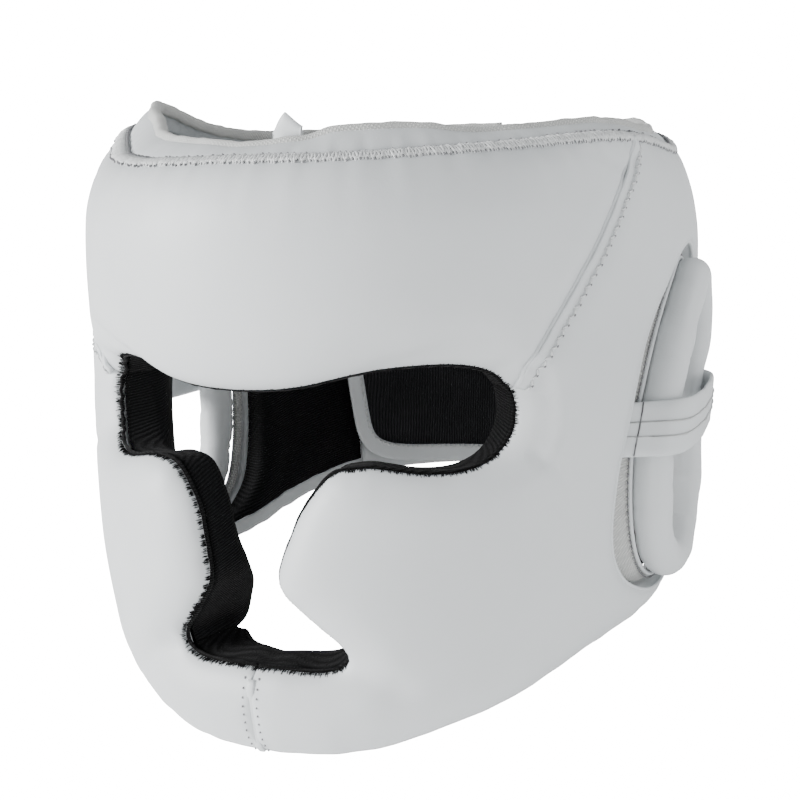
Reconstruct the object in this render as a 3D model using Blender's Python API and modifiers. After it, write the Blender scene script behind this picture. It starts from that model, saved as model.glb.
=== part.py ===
"""Boxing headgear: white pads, black lining, ear rings, open crown and rear closure."""

import math

import bmesh
import bpy
import numpy as np
from mathutils import Matrix
from mathutils.geometry import delaunay_2d_cdt

for item in list(bpy.data.objects):
    bpy.data.objects.remove(item)

# Main sizes in metres
HALF_WIDTH = 0.1103
FRONT_REACH = 0.1256
REAR_REACH = 0.1198
HEIGHT = 0.240
PATTERN_RADIUS = 0.112
GAP = 0.0006
LAYER_GAP = 0.0012

# Thicknesses, measured inward from the outer form
CUSHION = 0.0138
EDGE_CUSHION = 0.0100
LEATHER = 0.0024
LINING_FRONT = 0.0280
LINING_SIDE = 0.0245
LINING_REAR = 0.0200
JAW_LOBE = 0.0140
CHEEK_THIN = 0.0010

# Mesh spacing
STEP = 0.0160
EDGE_STEP = 0.0105
EDGE_BAND = 0.0045

# Rest on the floor: the chin and the rear hem carry the headgear
REST_TILT = math.radians(-14.4)
FLAT_CUT = 0.0018

# Outer form. Columns: height, half width, front reach, rear reach, rear taper, as shares
FORM = np.array([
    (-0.0625, 0.585, 0.693, 0.545, 0.080),
    (0.0000, 0.722, 0.822, 0.694, 0.080),
    (0.0833, 0.856, 0.920, 0.810, 0.080),
    (0.2083, 0.938, 0.968, 0.892, 0.080),
    (0.3750, 0.994, 0.984, 0.942, 0.076),
    (0.5417, 1.000, 0.976, 0.975, 0.056),
    (0.6667, 0.976, 0.992, 0.992, 0.020),
    (0.7917, 0.955, 1.000, 1.000, 0.000),
    (0.8750, 0.931, 0.984, 0.975, 0.000),
    (1.0000, 0.866, 0.920, 0.909, 0.000),
    (1.0400, 0.838, 0.892, 0.880, 0.000),
])
FORM_POWER = 2.05
CROWN_RISE = 0.0085
CROWN_SAG = 0.0060
CROWN_EASE = 0.58
CHEEK_TURN = math.radians(1.7)
EYE_TURN = math.radians(1.3)

# Edges on the wearer's left. Columns: angle from the front in degrees, height as a share of HEIGHT
EDGES = {
    "chin": [(0.0, 0.108), (0.0, 0.235)],
    "mouth": [(0.0, 0.235), (4.0, 0.236), (9.0, 0.234), (12.0, 0.235), (14.6, 0.241),
              (16.0, 0.253), (15.3, 0.272), (12.0, 0.300), (9.2, 0.325), (7.4, 0.343),
              (6.7, 0.363), (7.2, 0.390), (8.3, 0.420), (9.6, 0.452), (12.2, 0.485),
              (14.6, 0.505), (16.6, 0.511)],
    "eye": [(16.6, 0.511), (20.5, 0.513), (24.5, 0.508), (28.5, 0.502), (33.0, 0.500),
            (36.5, 0.503), (39.6, 0.512), (41.9, 0.527), (43.4, 0.548), (44.0, 0.575),
            (43.9, 0.600)],
    "brow": [(0.0, 0.610), (6.0, 0.612), (11.0, 0.617), (15.5, 0.625), (20.0, 0.631),
             (25.5, 0.636), (31.0, 0.638), (35.0, 0.637), (38.6, 0.632), (41.6, 0.621),
             (43.9, 0.600)],
    "diagonal": [(43.9, 0.600), (46.1, 0.632), (48.8, 0.659), (52.8, 0.697), (57.4, 0.739),
                 (62.9, 0.787), (68.8, 0.838), (73.8, 0.877), (79.0, 0.921)],
    "crown_front": [(0.0, 0.919), (21.0, 0.917), (42.0, 0.920), (60.0, 0.922), (79.0, 0.921)],
    "crown_side": [(79.0, 0.921), (105.0, 0.918), (130.0, 0.915), (155.0, 0.915), (178.5, 0.915)],
    "rear": [(178.5, 0.915), (178.5, 0.345)],
    "hem": [(0.0, 0.108), (10.0, 0.111), (20.0, 0.122), (31.0, 0.147), (43.7, 0.177),
            (54.7, 0.209), (65.0, 0.231), (76.0, 0.242), (86.0, 0.250), (100.0, 0.262),
            (113.0, 0.282), (126.0, 0.303), (143.0, 0.326), (160.0, 0.340), (178.5, 0.345)],
    "ear": [(84.5, 0.705), (78.9, 0.677), (73.2, 0.635), (69.6, 0.590), (67.5, 0.553),
            (65.4, 0.510), (63.8, 0.475), (62.4, 0.423), (61.9, 0.384), (62.7, 0.348),
            (65.9, 0.314), (71.8, 0.290), (78.8, 0.279), (86.0, 0.279), (92.8, 0.290),
            (98.3, 0.313), (102.8, 0.352), (105.4, 0.415), (106.9, 0.490), (107.8, 0.560),
            (109.0, 0.630), (109.3, 0.690), (106.6, 0.735), (101.3, 0.756), (95.3, 0.750),
            (89.9, 0.732), (84.5, 0.705)],
    "ring": [(94.0, 0.680), (87.6, 0.645), (81.8, 0.605), (77.2, 0.562), (74.0, 0.515),
             (72.7, 0.460), (72.6, 0.405), (73.8, 0.362), (76.6, 0.335), (81.2, 0.319),
             (87.4, 0.315), (93.2, 0.327), (97.7, 0.357), (100.2, 0.408), (101.4, 0.470),
             (101.0, 0.530), (102.9, 0.590), (105.0, 0.640), (103.8, 0.686), (99.6, 0.703),
             (94.0, 0.680)],
    "temple": [(43.9, 0.600), (49.0, 0.680), (54.0, 0.780), (58.0, 0.900)],
    "lining_front": [(0.0, 0.897), (29.0, 0.897), (58.0, 0.900)],
    "lining_side": [(58.0, 0.900), (84.0, 0.900), (130.0, 0.895), (178.5, 0.895)],
    "lining_rear": [(178.5, 0.895), (178.5, 0.345)],
    "jaw": [(15.2, 0.245), (20.5, 0.212), (26.0, 0.175), (31.0, 0.147)],
}

# How far each sewn edge sinks below the form, and how wide its shoulder is, in metres
SHOULDERS = {
    "mouth": (0.0080, 0.016),
    "eye": (0.0080, 0.016),
    "brow": (0.0090, 0.020),
    "diagonal": (0.0045, 0.010),
    "crown_front": (0.0125, 0.024),
    "crown_side": (0.0125, 0.024),
    "rear": (0.0030, 0.008),
    "hem": (0.0070, 0.016),
    "chin": (0.0020, 0.008),
    "ear": (0.0030, 0.007),
}


def smooth_table(xs, ys, x):
    """Monotone cubic through the rows of a table."""
    h = np.diff(xs)
    slope = np.diff(ys) / h
    m = np.zeros(len(xs))
    m[0], m[-1] = slope[0], slope[-1]
    same = slope[1:] * slope[:-1] > 0
    inner = np.zeros(len(xs) - 2)
    inner[same] = 2 * slope[1:][same] * slope[:-1][same] / (slope[1:][same] + slope[:-1][same])
    m[1:-1] = inner
    i = np.clip(np.searchsorted(xs, x) - 1, 0, len(h) - 1)
    t = (x - xs[i]) / h[i]
    return ((1 + 2 * t) * (1 - t) ** 2 * ys[i] + t * (1 - t) ** 2 * h[i] * m[i]
            + t * t * (3 - 2 * t) * ys[i + 1] + t * t * (t - 1) * h[i] * m[i + 1])


def drape(u, share):
    """Uneven set of the soft shell: how far a place turns round the head, and how far it rises.

    Each term is a bell curve over the angle and the height; the far crown stands up, the near
    crown sags behind the temple, and the cheeks and the near eye corner sit slightly turned.
    """
    turn = np.degrees(np.arctan2(np.sin(u), np.cos(u)))
    top = np.clip((share - 0.70) / 0.22, 0, 1)
    rise = (CROWN_RISE * np.exp(-((turn + 72) / 24) ** 2)
            - CROWN_SAG * np.exp(-((turn - 108) / 22) ** 2)) * top ** 2 * (3 - 2 * top)
    twist = (EYE_TURN * np.exp(-((share - 0.56) / 0.07) ** 2 - ((turn - 44) / 14) ** 2)
             - CHEEK_TURN * np.exp(-((share - 0.365) / 0.075) ** 2 - (turn / 16) ** 2))
    return u + twist, rise


def form(pattern):
    """Point on the outer form for pattern places (length round the head, height)."""
    share = pattern[:, 1] / HEIGHT
    u, rise = drape(pattern[:, 0] / PATTERN_RADIUS, share)
    half = smooth_table(FORM[:, 0], FORM[:, 1], share) * HALF_WIDTH
    front = smooth_table(FORM[:, 0], FORM[:, 2], share) * FRONT_REACH
    rear = smooth_table(FORM[:, 0], FORM[:, 3], share) * REAR_REACH
    side, ahead = np.sin(u), np.cos(u)
    blend = 0.5 + 0.5 * np.tanh(ahead / 0.25)
    reach = blend * front + (1 - blend) * rear
    radius = ((np.abs(side) / half) ** FORM_POWER
              + (np.abs(ahead) / reach) ** FORM_POWER) ** (-1 / FORM_POWER)
    turn = np.abs(np.degrees(np.arctan2(side, ahead)))
    behind = np.clip((turn - 68) / 34, 0, 1)
    nape = np.clip((turn - 115) / 65, 0, 1)
    taper = smooth_table(FORM[:, 0], FORM[:, 4], share)
    radius *= 1 - taper * behind ** 2 * (3 - 2 * behind) * (1 - 0.6 * nape ** 2 * (3 - 2 * nape))
    return np.stack([radius * side, -radius * ahead, pattern[:, 1] + rise], axis=1)


def skin(pattern, depth):
    """Place at a depth below the form, along the form's own normal."""
    pattern = np.atleast_2d(np.asarray(pattern, float))
    along = form(pattern + (1e-4, 0)) - form(pattern - (1e-4, 0))
    upward = form(pattern + (0, 1e-4)) - form(pattern - (0, 1e-4))
    normal = np.cross(along, upward)
    normal /= np.linalg.norm(normal, axis=1)[:, None]
    return form(pattern) - normal * np.reshape(depth, (-1, 1))


def edge(name, side=1, step=EDGE_STEP):
    """Evenly spaced places along a named edge, smooth through its table."""
    rows = np.array(EDGES[name], float)
    rows = np.stack([np.radians(rows[:, 0]) * PATTERN_RADIUS, rows[:, 1] * HEIGHT], axis=1)
    closed = np.allclose(rows[0], rows[-1])
    if closed:
        padded = np.vstack([rows[-2], rows, rows[1]])
    else:
        padded = np.vstack([2 * rows[0] - rows[1], rows, 2 * rows[-1] - rows[-2]])
    fine = []
    for k in range(1, len(padded) - 2):
        a, b, c, d = padded[k - 1:k + 3]
        for t in np.arange(0, 1, 0.05):
            fine.append(0.5 * (2 * b + (c - a) * t + (2 * a - 5 * b + 4 * c - d) * t * t
                               + (3 * b - a - 3 * c + d) * t ** 3))
    fine.append(rows[-1])
    fine = np.array(fine)
    run = np.concatenate([[0], np.cumsum(np.linalg.norm(np.diff(fine, axis=0), axis=1))])
    count = max(2, int(round(run[-1] / step)) + 1)
    at = np.linspace(0, run[-1], count)
    line = np.stack([np.interp(at, run, fine[:, k]) for k in (0, 1)], axis=1)
    return line * (side, 1)


def distance(places, line):
    """Shortest pattern distance from each place to a polyline."""
    a, b = line[:-1], line[1:]
    run = b - a
    offset = places[:, None, :] - a[None]
    t = np.clip((offset * run).sum(2) / np.maximum((run * run).sum(1), 1e-18), 0, 1)
    return np.linalg.norm(offset - t[..., None] * run, axis=2).min(1)


def crown_ease(places):
    """0 in front to 1 at the sides and behind, where the crown seam is pulled in less."""
    t = np.clip((np.abs(np.degrees(places[:, 0] / PATTERN_RADIUS)) - 42) / 34, 0, 1)
    return t * t * (3 - 2 * t)


def outer_depth(places):
    """Pillow shape of the white pads: every sewn edge pulls the leather down."""
    mirrored = np.stack([np.abs(places[:, 0]), places[:, 1]], axis=1)
    depth = np.zeros(len(places))
    for name, (sink, shoulder) in SHOULDERS.items():
        near = 1 - np.minimum(distance(mirrored, edge(name, step=0.004)) / shoulder, 1)
        if name.startswith("crown"):
            sink = sink * (1 - CROWN_EASE * crown_ease(places))
        depth = np.maximum(depth, sink * (1 - np.sqrt(1 - near ** 2)))
    return depth


def joint_depth(places):
    """Where the white cushion meets the lining."""
    mirrored = np.stack([np.abs(places[:, 0]), places[:, 1]], axis=1)
    free = [distance(mirrored, edge(name, step=0.004))
            for name in ("mouth", "eye", "brow", "hem", "ear")]
    near = 1 - np.minimum(np.min(free, axis=0) / 0.012, 1)
    depth = CUSHION - (CUSHION - EDGE_CUSHION) * near ** 2
    return np.maximum(depth, outer_depth(places) + LEATHER)


def lining_depth(places, loops):
    """Inner face of a lining pad, rounded over towards its own edges."""
    around = np.abs(np.degrees(places[:, 0] / PATTERN_RADIUS))
    full = np.interp(around, (0, 50, 75, 120, 180),
                     (LINING_FRONT, LINING_FRONT, LINING_SIDE, LINING_REAR, LINING_REAR))
    share = places[:, 1] / HEIGHT
    full = full + JAW_LOBE * np.exp(-((share - 0.285) / 0.08) ** 2 - ((around - 17) / 13) ** 2)
    full = full - CHEEK_THIN * np.exp(-((share - 0.42) / 0.07) ** 2 - ((around - 8) / 12) ** 2)
    gap = np.min([distance(places, np.vstack([loop, loop[:1]])) for loop in loops], axis=0)
    near = 1 - np.minimum(gap / 0.012, 1)
    return full - 0.4 * (full - EDGE_CUSHION) * (1 - np.sqrt(1 - near ** 2))


def inside(places, loop):
    """Even-odd test against a closed loop."""
    a, b = loop, np.roll(loop, -1, axis=0)
    x, y = places[:, :1], places[:, 1:]
    crosses = (a[:, 1] > y) != (b[:, 1] > y)
    rise = np.where(b[:, 1] == a[:, 1], 1e-12, b[:, 1] - a[:, 1])
    return (crosses & (x < a[:, 0] + (y - a[:, 1]) * (b[:, 0] - a[:, 0]) / rise)).sum(1) % 2 == 1


def shrink(loop, amount):
    """Move a loop's places into the pad by a small amount."""
    ahead, behind = np.roll(loop, -1, axis=0), np.roll(loop, 1, axis=0)
    run = ahead - behind
    normal = np.stack([-run[:, 1], run[:, 0]], axis=1)
    normal /= np.linalg.norm(normal, axis=1)[:, None]
    area = np.sum(loop[:, 0] * ahead[:, 1] - ahead[:, 0] * loop[:, 1])
    return loop + normal * amount * np.sign(area)


def triangulate(loops):
    """Triangles over an outline with holes: edge places, one band inside them, then a lattice."""
    places, edges = [], []
    for loop in loops:
        first = len(places)
        places.extend(loop)
        edges.extend((first + k, first + (k + 1) % len(loop)) for k in range(len(loop)))
    band = np.vstack([shrink(loop, EDGE_BAND * (1 if k == 0 else -1))
                      for k, loop in enumerate(loops)])
    low, high = loops[0].min(0), loops[0].max(0)
    rows = []
    row = STEP * 0.866
    for j in range(int(low[1] / row), int(high[1] / row) + 2):
        xs = np.arange(math.floor(low[0] / STEP), high[0] / STEP + 1) * STEP + (j % 2) * STEP / 2
        rows.append(np.stack([xs, np.full(len(xs), j * row)], axis=1))
    lattice = np.vstack(rows)
    for extra, clear in ((band, EDGE_BAND * 0.8), (lattice, EDGE_BAND + STEP * 0.4)):
        keep = inside(extra, loops[0])
        for hole in loops[1:]:
            keep &= ~inside(extra, hole)
        gap = np.min([distance(extra, np.vstack([loop, loop[:1]])) for loop in loops], axis=0)
        places.extend(extra[keep & (gap > clear)])
    verts, _, faces, _, _, _ = delaunay_2d_cdt([tuple(p) for p in places], edges, [], 0, 1e-7, False)
    verts = np.array([tuple(v) for v in verts])
    faces = np.array([tuple(f) for f in faces if len(f) == 3])
    middle = verts[faces].mean(1)
    keep = inside(middle, loops[0])
    for hole in loops[1:]:
        keep &= ~inside(middle, hole)
    return verts, faces[keep]


def new_object(name, mesh, finish, smooth=True):
    """Add a mesh with its own material."""
    for face in mesh.polygons:
        face.use_smooth = smooth
    mesh.name = name
    thing = bpy.data.objects.new(name, mesh)
    bpy.context.collection.objects.link(thing)
    colour, roughness = finish
    material = bpy.data.materials.new(name)
    material.use_nodes = True
    principled = material.node_tree.nodes["Principled BSDF"]
    principled.inputs["Base Color"].default_value = (*colour, 1)
    principled.inputs["Roughness"].default_value = roughness
    mesh.materials.append(material)
    return thing


def pad(name, loops, outer, inner, finish):
    """Closed cushion between two depth functions over an outline."""
    places, faces = triangulate(loops)
    count = len(places)
    verts = np.vstack([skin(places, outer(places)), skin(places, inner(places))])
    sides = {}
    for a, b, c in faces:
        for pair in ((a, b), (b, c), (c, a)):
            sides[pair] = True
    rim = [pair for pair in sides if (pair[1], pair[0]) not in sides]
    polygons = [tuple(f) for f in faces]
    polygons += [(c + count, b + count, a + count) for a, b, c in faces]
    polygons += [(b, a, a + count, b + count) for a, b in rim]
    mesh = bpy.data.meshes.new(name)
    mesh.from_pydata([tuple(v) for v in verts], [], [tuple(int(k) for k in f) for f in polygons])
    mesh.validate()
    return new_object(name, mesh, finish)


def outline(parts, side=1, joint=GAP / 2):
    """Closed loop from named edges laid end to end; a minus sign runs one backwards."""
    lines = []
    for part in parts:
        backward = part.startswith("-")
        line = edge(part.strip("-"), side)
        lines.append((line[::-1] if backward else line)[:-1])
    return shrink(np.vstack(lines), joint)


def both(parts):
    """Closed loop across both sides of the head from edges that start on the centre line."""
    left = []
    for part in parts:
        backward = part.startswith("-")
        line = edge(part.strip("-"))
        left.append((line[::-1] if backward else line)[:-1])
    left = np.vstack(left + [edge(parts[-1].strip("-"))[:1 if parts[-1][0] == "-" else None][-1:]])
    right = left[::-1][1:-1] * (-1, 1)
    return shrink(np.vstack([left, right]), GAP / 2)


def ear_hole(side):
    """Ear hole loop, widened by the joint gap."""
    return shrink(edge("ear", side)[:-1], -GAP / 2)


def tube(name, points, radius, finish, closed=False, sides=2, flat=1.0):
    """Round cord along points, from a bevelled curve."""
    curve = bpy.data.curves.new(name, "CURVE")
    curve.dimensions = "3D"
    curve.bevel_depth = radius
    curve.bevel_resolution = sides
    curve.use_fill_caps = not closed
    spline = curve.splines.new("POLY")
    spline.points.add(len(points) - 1)
    for point, place in zip(spline.points, points):
        point.co = (*place, 1)
    spline.use_cyclic_u = closed
    holder = bpy.data.objects.new(name + "_curve", curve)
    bpy.context.collection.objects.link(holder)
    bpy.context.view_layer.update()
    mesh = bpy.data.meshes.new_from_object(holder.evaluated_get(bpy.context.evaluated_depsgraph_get()))
    bpy.data.objects.remove(holder)
    return new_object(name, mesh, finish)


def sheet(name, rows, thickness, finish, closed=False):
    """Solid sheet from rows of points; the first face looks outward and the sheet thickens inward."""
    rows = [np.asarray(row) for row in rows]
    count, across = len(rows[0]), len(rows)
    verts = np.vstack(rows)
    polygons = []
    for j in range(across - 1):
        for i in range(count if closed else count - 1):
            k = (i + 1) % count
            polygons.append((j * count + i, j * count + k, (j + 1) * count + k, (j + 1) * count + i))
    mesh = bpy.data.meshes.new(name)
    mesh.from_pydata([tuple(v) for v in verts], [], polygons)
    holder = bpy.data.objects.new(name + "_sheet", mesh)
    bpy.context.collection.objects.link(holder)
    solid = holder.modifiers.new("thickness", "SOLIDIFY")
    solid.thickness = thickness
    solid.offset = -1
    solid.use_even_offset = True
    bpy.context.view_layer.update()
    solid_mesh = bpy.data.meshes.new_from_object(
        holder.evaluated_get(bpy.context.evaluated_depsgraph_get()))
    bpy.data.objects.remove(holder)
    return new_object(name, solid_mesh, finish)


def places(rows):
    """Pattern places from columns of degrees and shares of HEIGHT."""
    rows = np.atleast_2d(np.array(rows, float))
    return np.stack([np.radians(rows[:, 0]) * PATTERN_RADIUS, rows[:, 1] * HEIGHT], axis=1)


WHITE = ((0.80, 0.81, 0.83), 0.38)
BLACK = ((0.018, 0.018, 0.020), 0.85)
GREY = ((0.42, 0.43, 0.45), 0.80)

# White pads
pad("forehead_pad", [both(["brow", "diagonal", "-crown_front"])],
    outer_depth, lambda p: joint_depth(p) - LAYER_GAP / 2, WHITE)
FACE = ["chin", "mouth", "eye", "diagonal", "crown_side", "rear", "-hem"]
for tag, side in (("left", 1), ("right", -1)):
    pad("face_pad_" + tag, [outline(FACE, side), ear_hole(side)],
        outer_depth, lambda p: joint_depth(p) - LAYER_GAP / 2, WHITE)

# Black lining pads
forehead = [both(["brow", "temple", "-lining_front"])]
pad("forehead_lining", forehead, lambda p: joint_depth(p) + LAYER_GAP / 2,
    lambda p: lining_depth(p, forehead), BLACK)


def split_mouth(side):
    """Mouth edge from the jaw seam upward."""
    line = edge("mouth", side)
    start = int(np.argmin(np.linalg.norm(line - edge("jaw", side)[0], axis=1)))
    return line, start


def hem_parts(side):
    """Hem in front of and behind the jaw seam."""
    line = edge("hem", side)
    stop = int(np.argmin(np.linalg.norm(line - edge("jaw", side)[-1], axis=1)))
    return line, stop


for tag, side in (("left", 1), ("right", -1)):
    mouth, start = split_mouth(side)
    hem, stop = hem_parts(side)
    jaw = edge("jaw", side)[1:-1]
    loop = np.vstack([mouth[start:-1], edge("eye", side)[:-1], edge("temple", side)[:-1],
                      edge("lining_side", side)[:-1], edge("lining_rear", side)[:-1],
                      hem[::-1][:len(hem) - stop], jaw[::-1]])
    loops = [shrink(loop, GAP / 2), ear_hole(side)]
    pad("side_lining_" + tag, loops, lambda p: joint_depth(p) + LAYER_GAP / 2,
        lambda p, loops=loops: lining_depth(p, loops), BLACK)

mouth, start = split_mouth(1)
hem, stop = hem_parts(1)
half = np.vstack([hem[:stop + 1], edge("jaw")[1:-1][::-1], mouth[:start + 1][::-1]])
chin = [shrink(np.vstack([half, half[::-1][1:-1] * (-1, 1)]), GAP / 2)]
pad("chin_lining", chin, lambda p: joint_depth(p) + LAYER_GAP,
    lambda p: lining_depth(p, chin), BLACK)

# Collar above the crown seam, its tape and the ribbon across the crown
RIM = np.array([
    (-178.5, 0.952), (-120, 0.953), (-95, 0.955), (-80, 0.961), (-70, 0.970), (-62, 0.980),
    (-55, 0.983), (-48, 0.979), (-40, 0.969), (-26, 0.960), (-13, 0.956), (-2, 0.950),
    (10, 0.955), (18, 0.969), (29, 0.969), (45, 0.954), (58, 0.950), (70, 0.951), (84, 0.956),
    (98, 0.968), (112, 0.972), (130, 0.964), (150, 0.954), (178.5, 0.952)], float)
COLLAR_FOOT = 0.0128
COLLAR_TOP = 0.0210
COLLAR_THICK = 0.0034
COLLAR_EASE = 0.0110
around = np.linspace(-178.5, 178.5, 57)
foot_table = np.array(EDGES["crown_front"] + EDGES["crown_side"][1:], float)
rim = smooth_table(RIM[:, 0], RIM[:, 1], around)
ease = crown_ease(places(np.stack([around, rim], axis=1)))
foot = np.interp(np.abs(around), foot_table[:, 0], foot_table[:, 1]) + 0.0038 + 0.0052 * np.sqrt(ease)
foot = foot + 0.0075 * np.exp(-((np.abs(around) - 60) / 14) ** 2)
foot_depth = COLLAR_FOOT * (1 - CROWN_EASE * ease)
top_depth = COLLAR_TOP - COLLAR_EASE * ease
collar_rows = []
for share in (0.0, 0.5, 1.0):
    height = foot + (rim - foot) * (share + 0.5 * share * (1 - share))
    collar_rows.append(skin(places(np.stack([around, height], axis=1)),
                            foot_depth + (top_depth - foot_depth) * share))
sheet("crown_collar", collar_rows, COLLAR_THICK, WHITE)
tape = skin(places(np.stack([around, rim - 0.0030], axis=1)), top_depth + 0.0043 + 0.0016 * ease)
tube("crown_binding", tape, 0.0019, GREY, sides=1)

RIBBON_TUCK = (COLLAR_TOP - 0.0006, COLLAR_TOP - 0.0074)
RIBBON_START = skin(places([(-51, 0.9811 - 0.0345)]), RIBBON_TUCK[0])[0]
RIBBON_END = skin(places([(131, 0.9617 - 0.0200)]), RIBBON_TUCK[1])[0]
RIBBON_WIDTH = 0.016
RIBBON_SAG = 0.014
RIBBON_THICK = 0.0022
share = np.linspace(0, 1, 9)[:, None]
line = RIBBON_START + (RIBBON_END - RIBBON_START) * share
line[:, 2] -= RIBBON_SAG * 4 * share[:, 0] * (1 - share[:, 0])
run = (RIBBON_END - RIBBON_START)[:2] / np.linalg.norm((RIBBON_END - RIBBON_START)[:2])
half = np.array([-run[1], run[0], 0]) * RIBBON_WIDTH / 2
sheet("crown_strap", [line - half, line + half], RIBBON_THICK, BLACK)

TAB = [(3.0, 0.957), (8.5, 0.968)]
base = skin(places(TAB), COLLAR_TOP + 0.0040)
sheet("crown_tab", [base, base + (0, 0, 0.008)], 0.0028, WHITE)

# Corded seam from the eye corner up to the crown
for tag, side in (("left", 1), ("right", -1)):
    seam = edge("diagonal", side)[1:-1]
    tube("seam_piping_" + tag, skin(seam, 0.0017), 0.0010, WHITE, sides=1)

# Ear rings, their tape and the strap across
RING_RADIUS = 0.0066
RING_DEPTH = 0.0005
TAPE_OUTER = 0.0062
TAPE_INNER = 0.0050
TAPE_THICK = 0.0026
TAPE_EDGE = 0.0012
TAPE_CLEAR = 0.0058
RING_POINTS = 40
RING_MIDDLE = (0.1740, 0.1190)
RING_WAIST = 0.0022


def ear_loops(side):
    """Ring line and ear hole line point for point, paired along rays from the ring's middle."""
    ring = edge("ring", 1, 0.001)
    run = np.concatenate([[0], np.cumsum(np.linalg.norm(np.diff(ring, axis=0), axis=1))])
    at = np.linspace(0, run[-1], RING_POINTS + 1)[:-1]
    ring = np.stack([np.interp(at, run, ring[:, k]) for k in (0, 1)], axis=1)
    tape = shrink(ring, -TAPE_CLEAR)
    hole = shrink(edge("ear", 1, 0.001)[:-1], TAPE_EDGE)
    ray, bearing = [np.arctan2(*(line - RING_MIDDLE).T[::-1]) for line in (hole, tape)]
    order = np.argsort(ray)
    outer = np.stack([np.interp(bearing, ray[order], hole[order, k], period=2 * math.pi)
                      for k in (0, 1)], axis=1)
    loops = [line * (side, 1) for line in (ring, tape, outer)]
    return loops if side > 0 else [line[::-1] for line in loops]


def ring_depth(line):
    """Depth of the ring's middle: its rear side is drawn in under the strap."""
    rear = np.clip((np.abs(line[:, 0]) - RING_MIDDLE[0]) / 0.012, 0, 1)
    return RING_DEPTH + RING_WAIST * rear * np.exp(-((line[:, 1] / HEIGHT - 0.53) / 0.06) ** 2)


for tag, side in (("left", 1), ("right", -1)):
    ring, inner, outer = ear_loops(side)
    tube("ear_pad_" + tag, skin(ring, ring_depth(ring)), RING_RADIUS, WHITE, closed=True)
    sheet("ear_binding_" + tag, [skin(outer, TAPE_OUTER), skin(inner, TAPE_INNER - RING_DEPTH + ring_depth(inner))],
          TAPE_THICK, GREY, closed=True)

STRAP_WIDTH = 0.0165
STRAP_LIFT = RING_RADIUS + 0.0034
STRAP_HEIGHT = (0.523, 0.530)
STRAP_INSET = 0.0014
STRAP_ROOT = 0.0034
EAR_MIDDLE = 0.170
ear_line, ring_line = edge("ear", 1, 0.001), edge("ring", 1, 0.001)


def angle_at(line, way, height):
    """Angle where a closed ear line passes a height, on its front side -1 or rear side 1."""
    half = line[(line[:, 0] - EAR_MIDDLE) * way > 0]
    return math.degrees(half[np.argmin(np.abs(half[:, 1] - HEIGHT * height)), 0] / PATTERN_RADIUS)


for tag, side in (("left", 1), ("right", -1)):
    rows = []
    for lift in (-0.5, 0.0, 0.5):
        low, high = [h + lift * STRAP_WIDTH / HEIGHT for h in STRAP_HEIGHT]
        root = angle_at(ear_line, -1, low) + math.degrees(STRAP_INSET / PATTERN_RADIUS)
        front, rear = angle_at(ring_line, -1, low), angle_at(ring_line, 1, high)
        path = [(root, STRAP_ROOT)]
        for centre, turns in ((front, (165, 143, 118, 90)), (rear, (90, 65, 42, 20))):
            for turn in turns:
                swing = math.degrees(STRAP_LIFT * math.cos(math.radians(turn)) / PATTERN_RADIUS)
                path.append((centre + swing, RING_DEPTH - STRAP_LIFT * math.sin(math.radians(turn))))
        row = []
        for angle, depth in path:
            share = min(max((angle - front) / (rear - front), 0), 1)
            height = STRAP_HEIGHT[0] + (STRAP_HEIGHT[1] - STRAP_HEIGHT[0]) * share
            row.append(skin(places([(angle * side, height + lift * STRAP_WIDTH / HEIGHT)]),
                            depth + RING_WAIST * share)[0])
        rows.append(np.array(row) if side > 0 else np.array(row)[::-1])
    sheet("ear_strap_" + tag, rows, 0.0018, WHITE)

# Rear closure: flap lying inside the right rear lining, its bound edge, and the strap below
FLAP_DEPTH = 0.0230
FLAP_THICK = 0.0028
FLAP_TOP = 0.800
flap_low = [(150, 0.356), (165, 0.342), (180, 0.336), (196, 0.336), (208, 0.338), (215, 0.344),
            (220, 0.358), (223.6, 0.385)]
lower = np.array(flap_low, float)
fine = np.concatenate([np.arange(150, 215, 6), [215, 220, 223.6]])
lower = np.stack([fine, np.interp(fine, lower[:, 0], lower[:, 1])], axis=1)
rows = []
for share in np.linspace(0, 1, 7):
    height = lower[:, 1] + (FLAP_TOP - lower[:, 1]) * share
    angle = lower[:, 0] + (lower[:, 0] - 150) / 73.6 * 2.4 * math.sin(min(share * 2.4, 1) * math.pi / 2)
    rows.append(skin(places(np.stack([angle, height], axis=1)), FLAP_DEPTH))
sheet("closure_flap", rows, FLAP_THICK, BLACK)
edge_run = np.vstack([rows[0][:-1], [row[-1] for row in rows]])
away = np.vstack([lower[:-1], [(223.6 + 2.4 * math.sin(min(s * 2.4, 1) * math.pi / 2),
                                0.385 + (FLAP_TOP - 0.385) * s) for s in np.linspace(0, 1, 7)]])
bound = places(away)
run = np.gradient(bound, axis=0)
out = np.stack([run[:, 1], -run[:, 0]], axis=1)
out /= np.linalg.norm(out, axis=1)[:, None]
tube("closure_binding", skin(bound + out * 0.0022, FLAP_DEPTH + FLAP_THICK / 2), 0.0015, WHITE, sides=1)

strap = [(158, 0.336), (175, 0.330), (195, 0.326), (210, 0.322), (222.8, 0.318)]
low = np.array(strap, float)
fine = np.concatenate([np.arange(156, 222, 6), [222.8]])
low = np.stack([fine, np.interp(fine, low[:, 0], low[:, 1])], axis=1)
strap_rows = [skin(places(np.stack([low[:, 0], low[:, 1] + lift], axis=1)), 0.0206)
              for lift in (0.0, 0.040, 0.080)]
sheet("closure_strap", strap_rows, 0.0018, WHITE)

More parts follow.
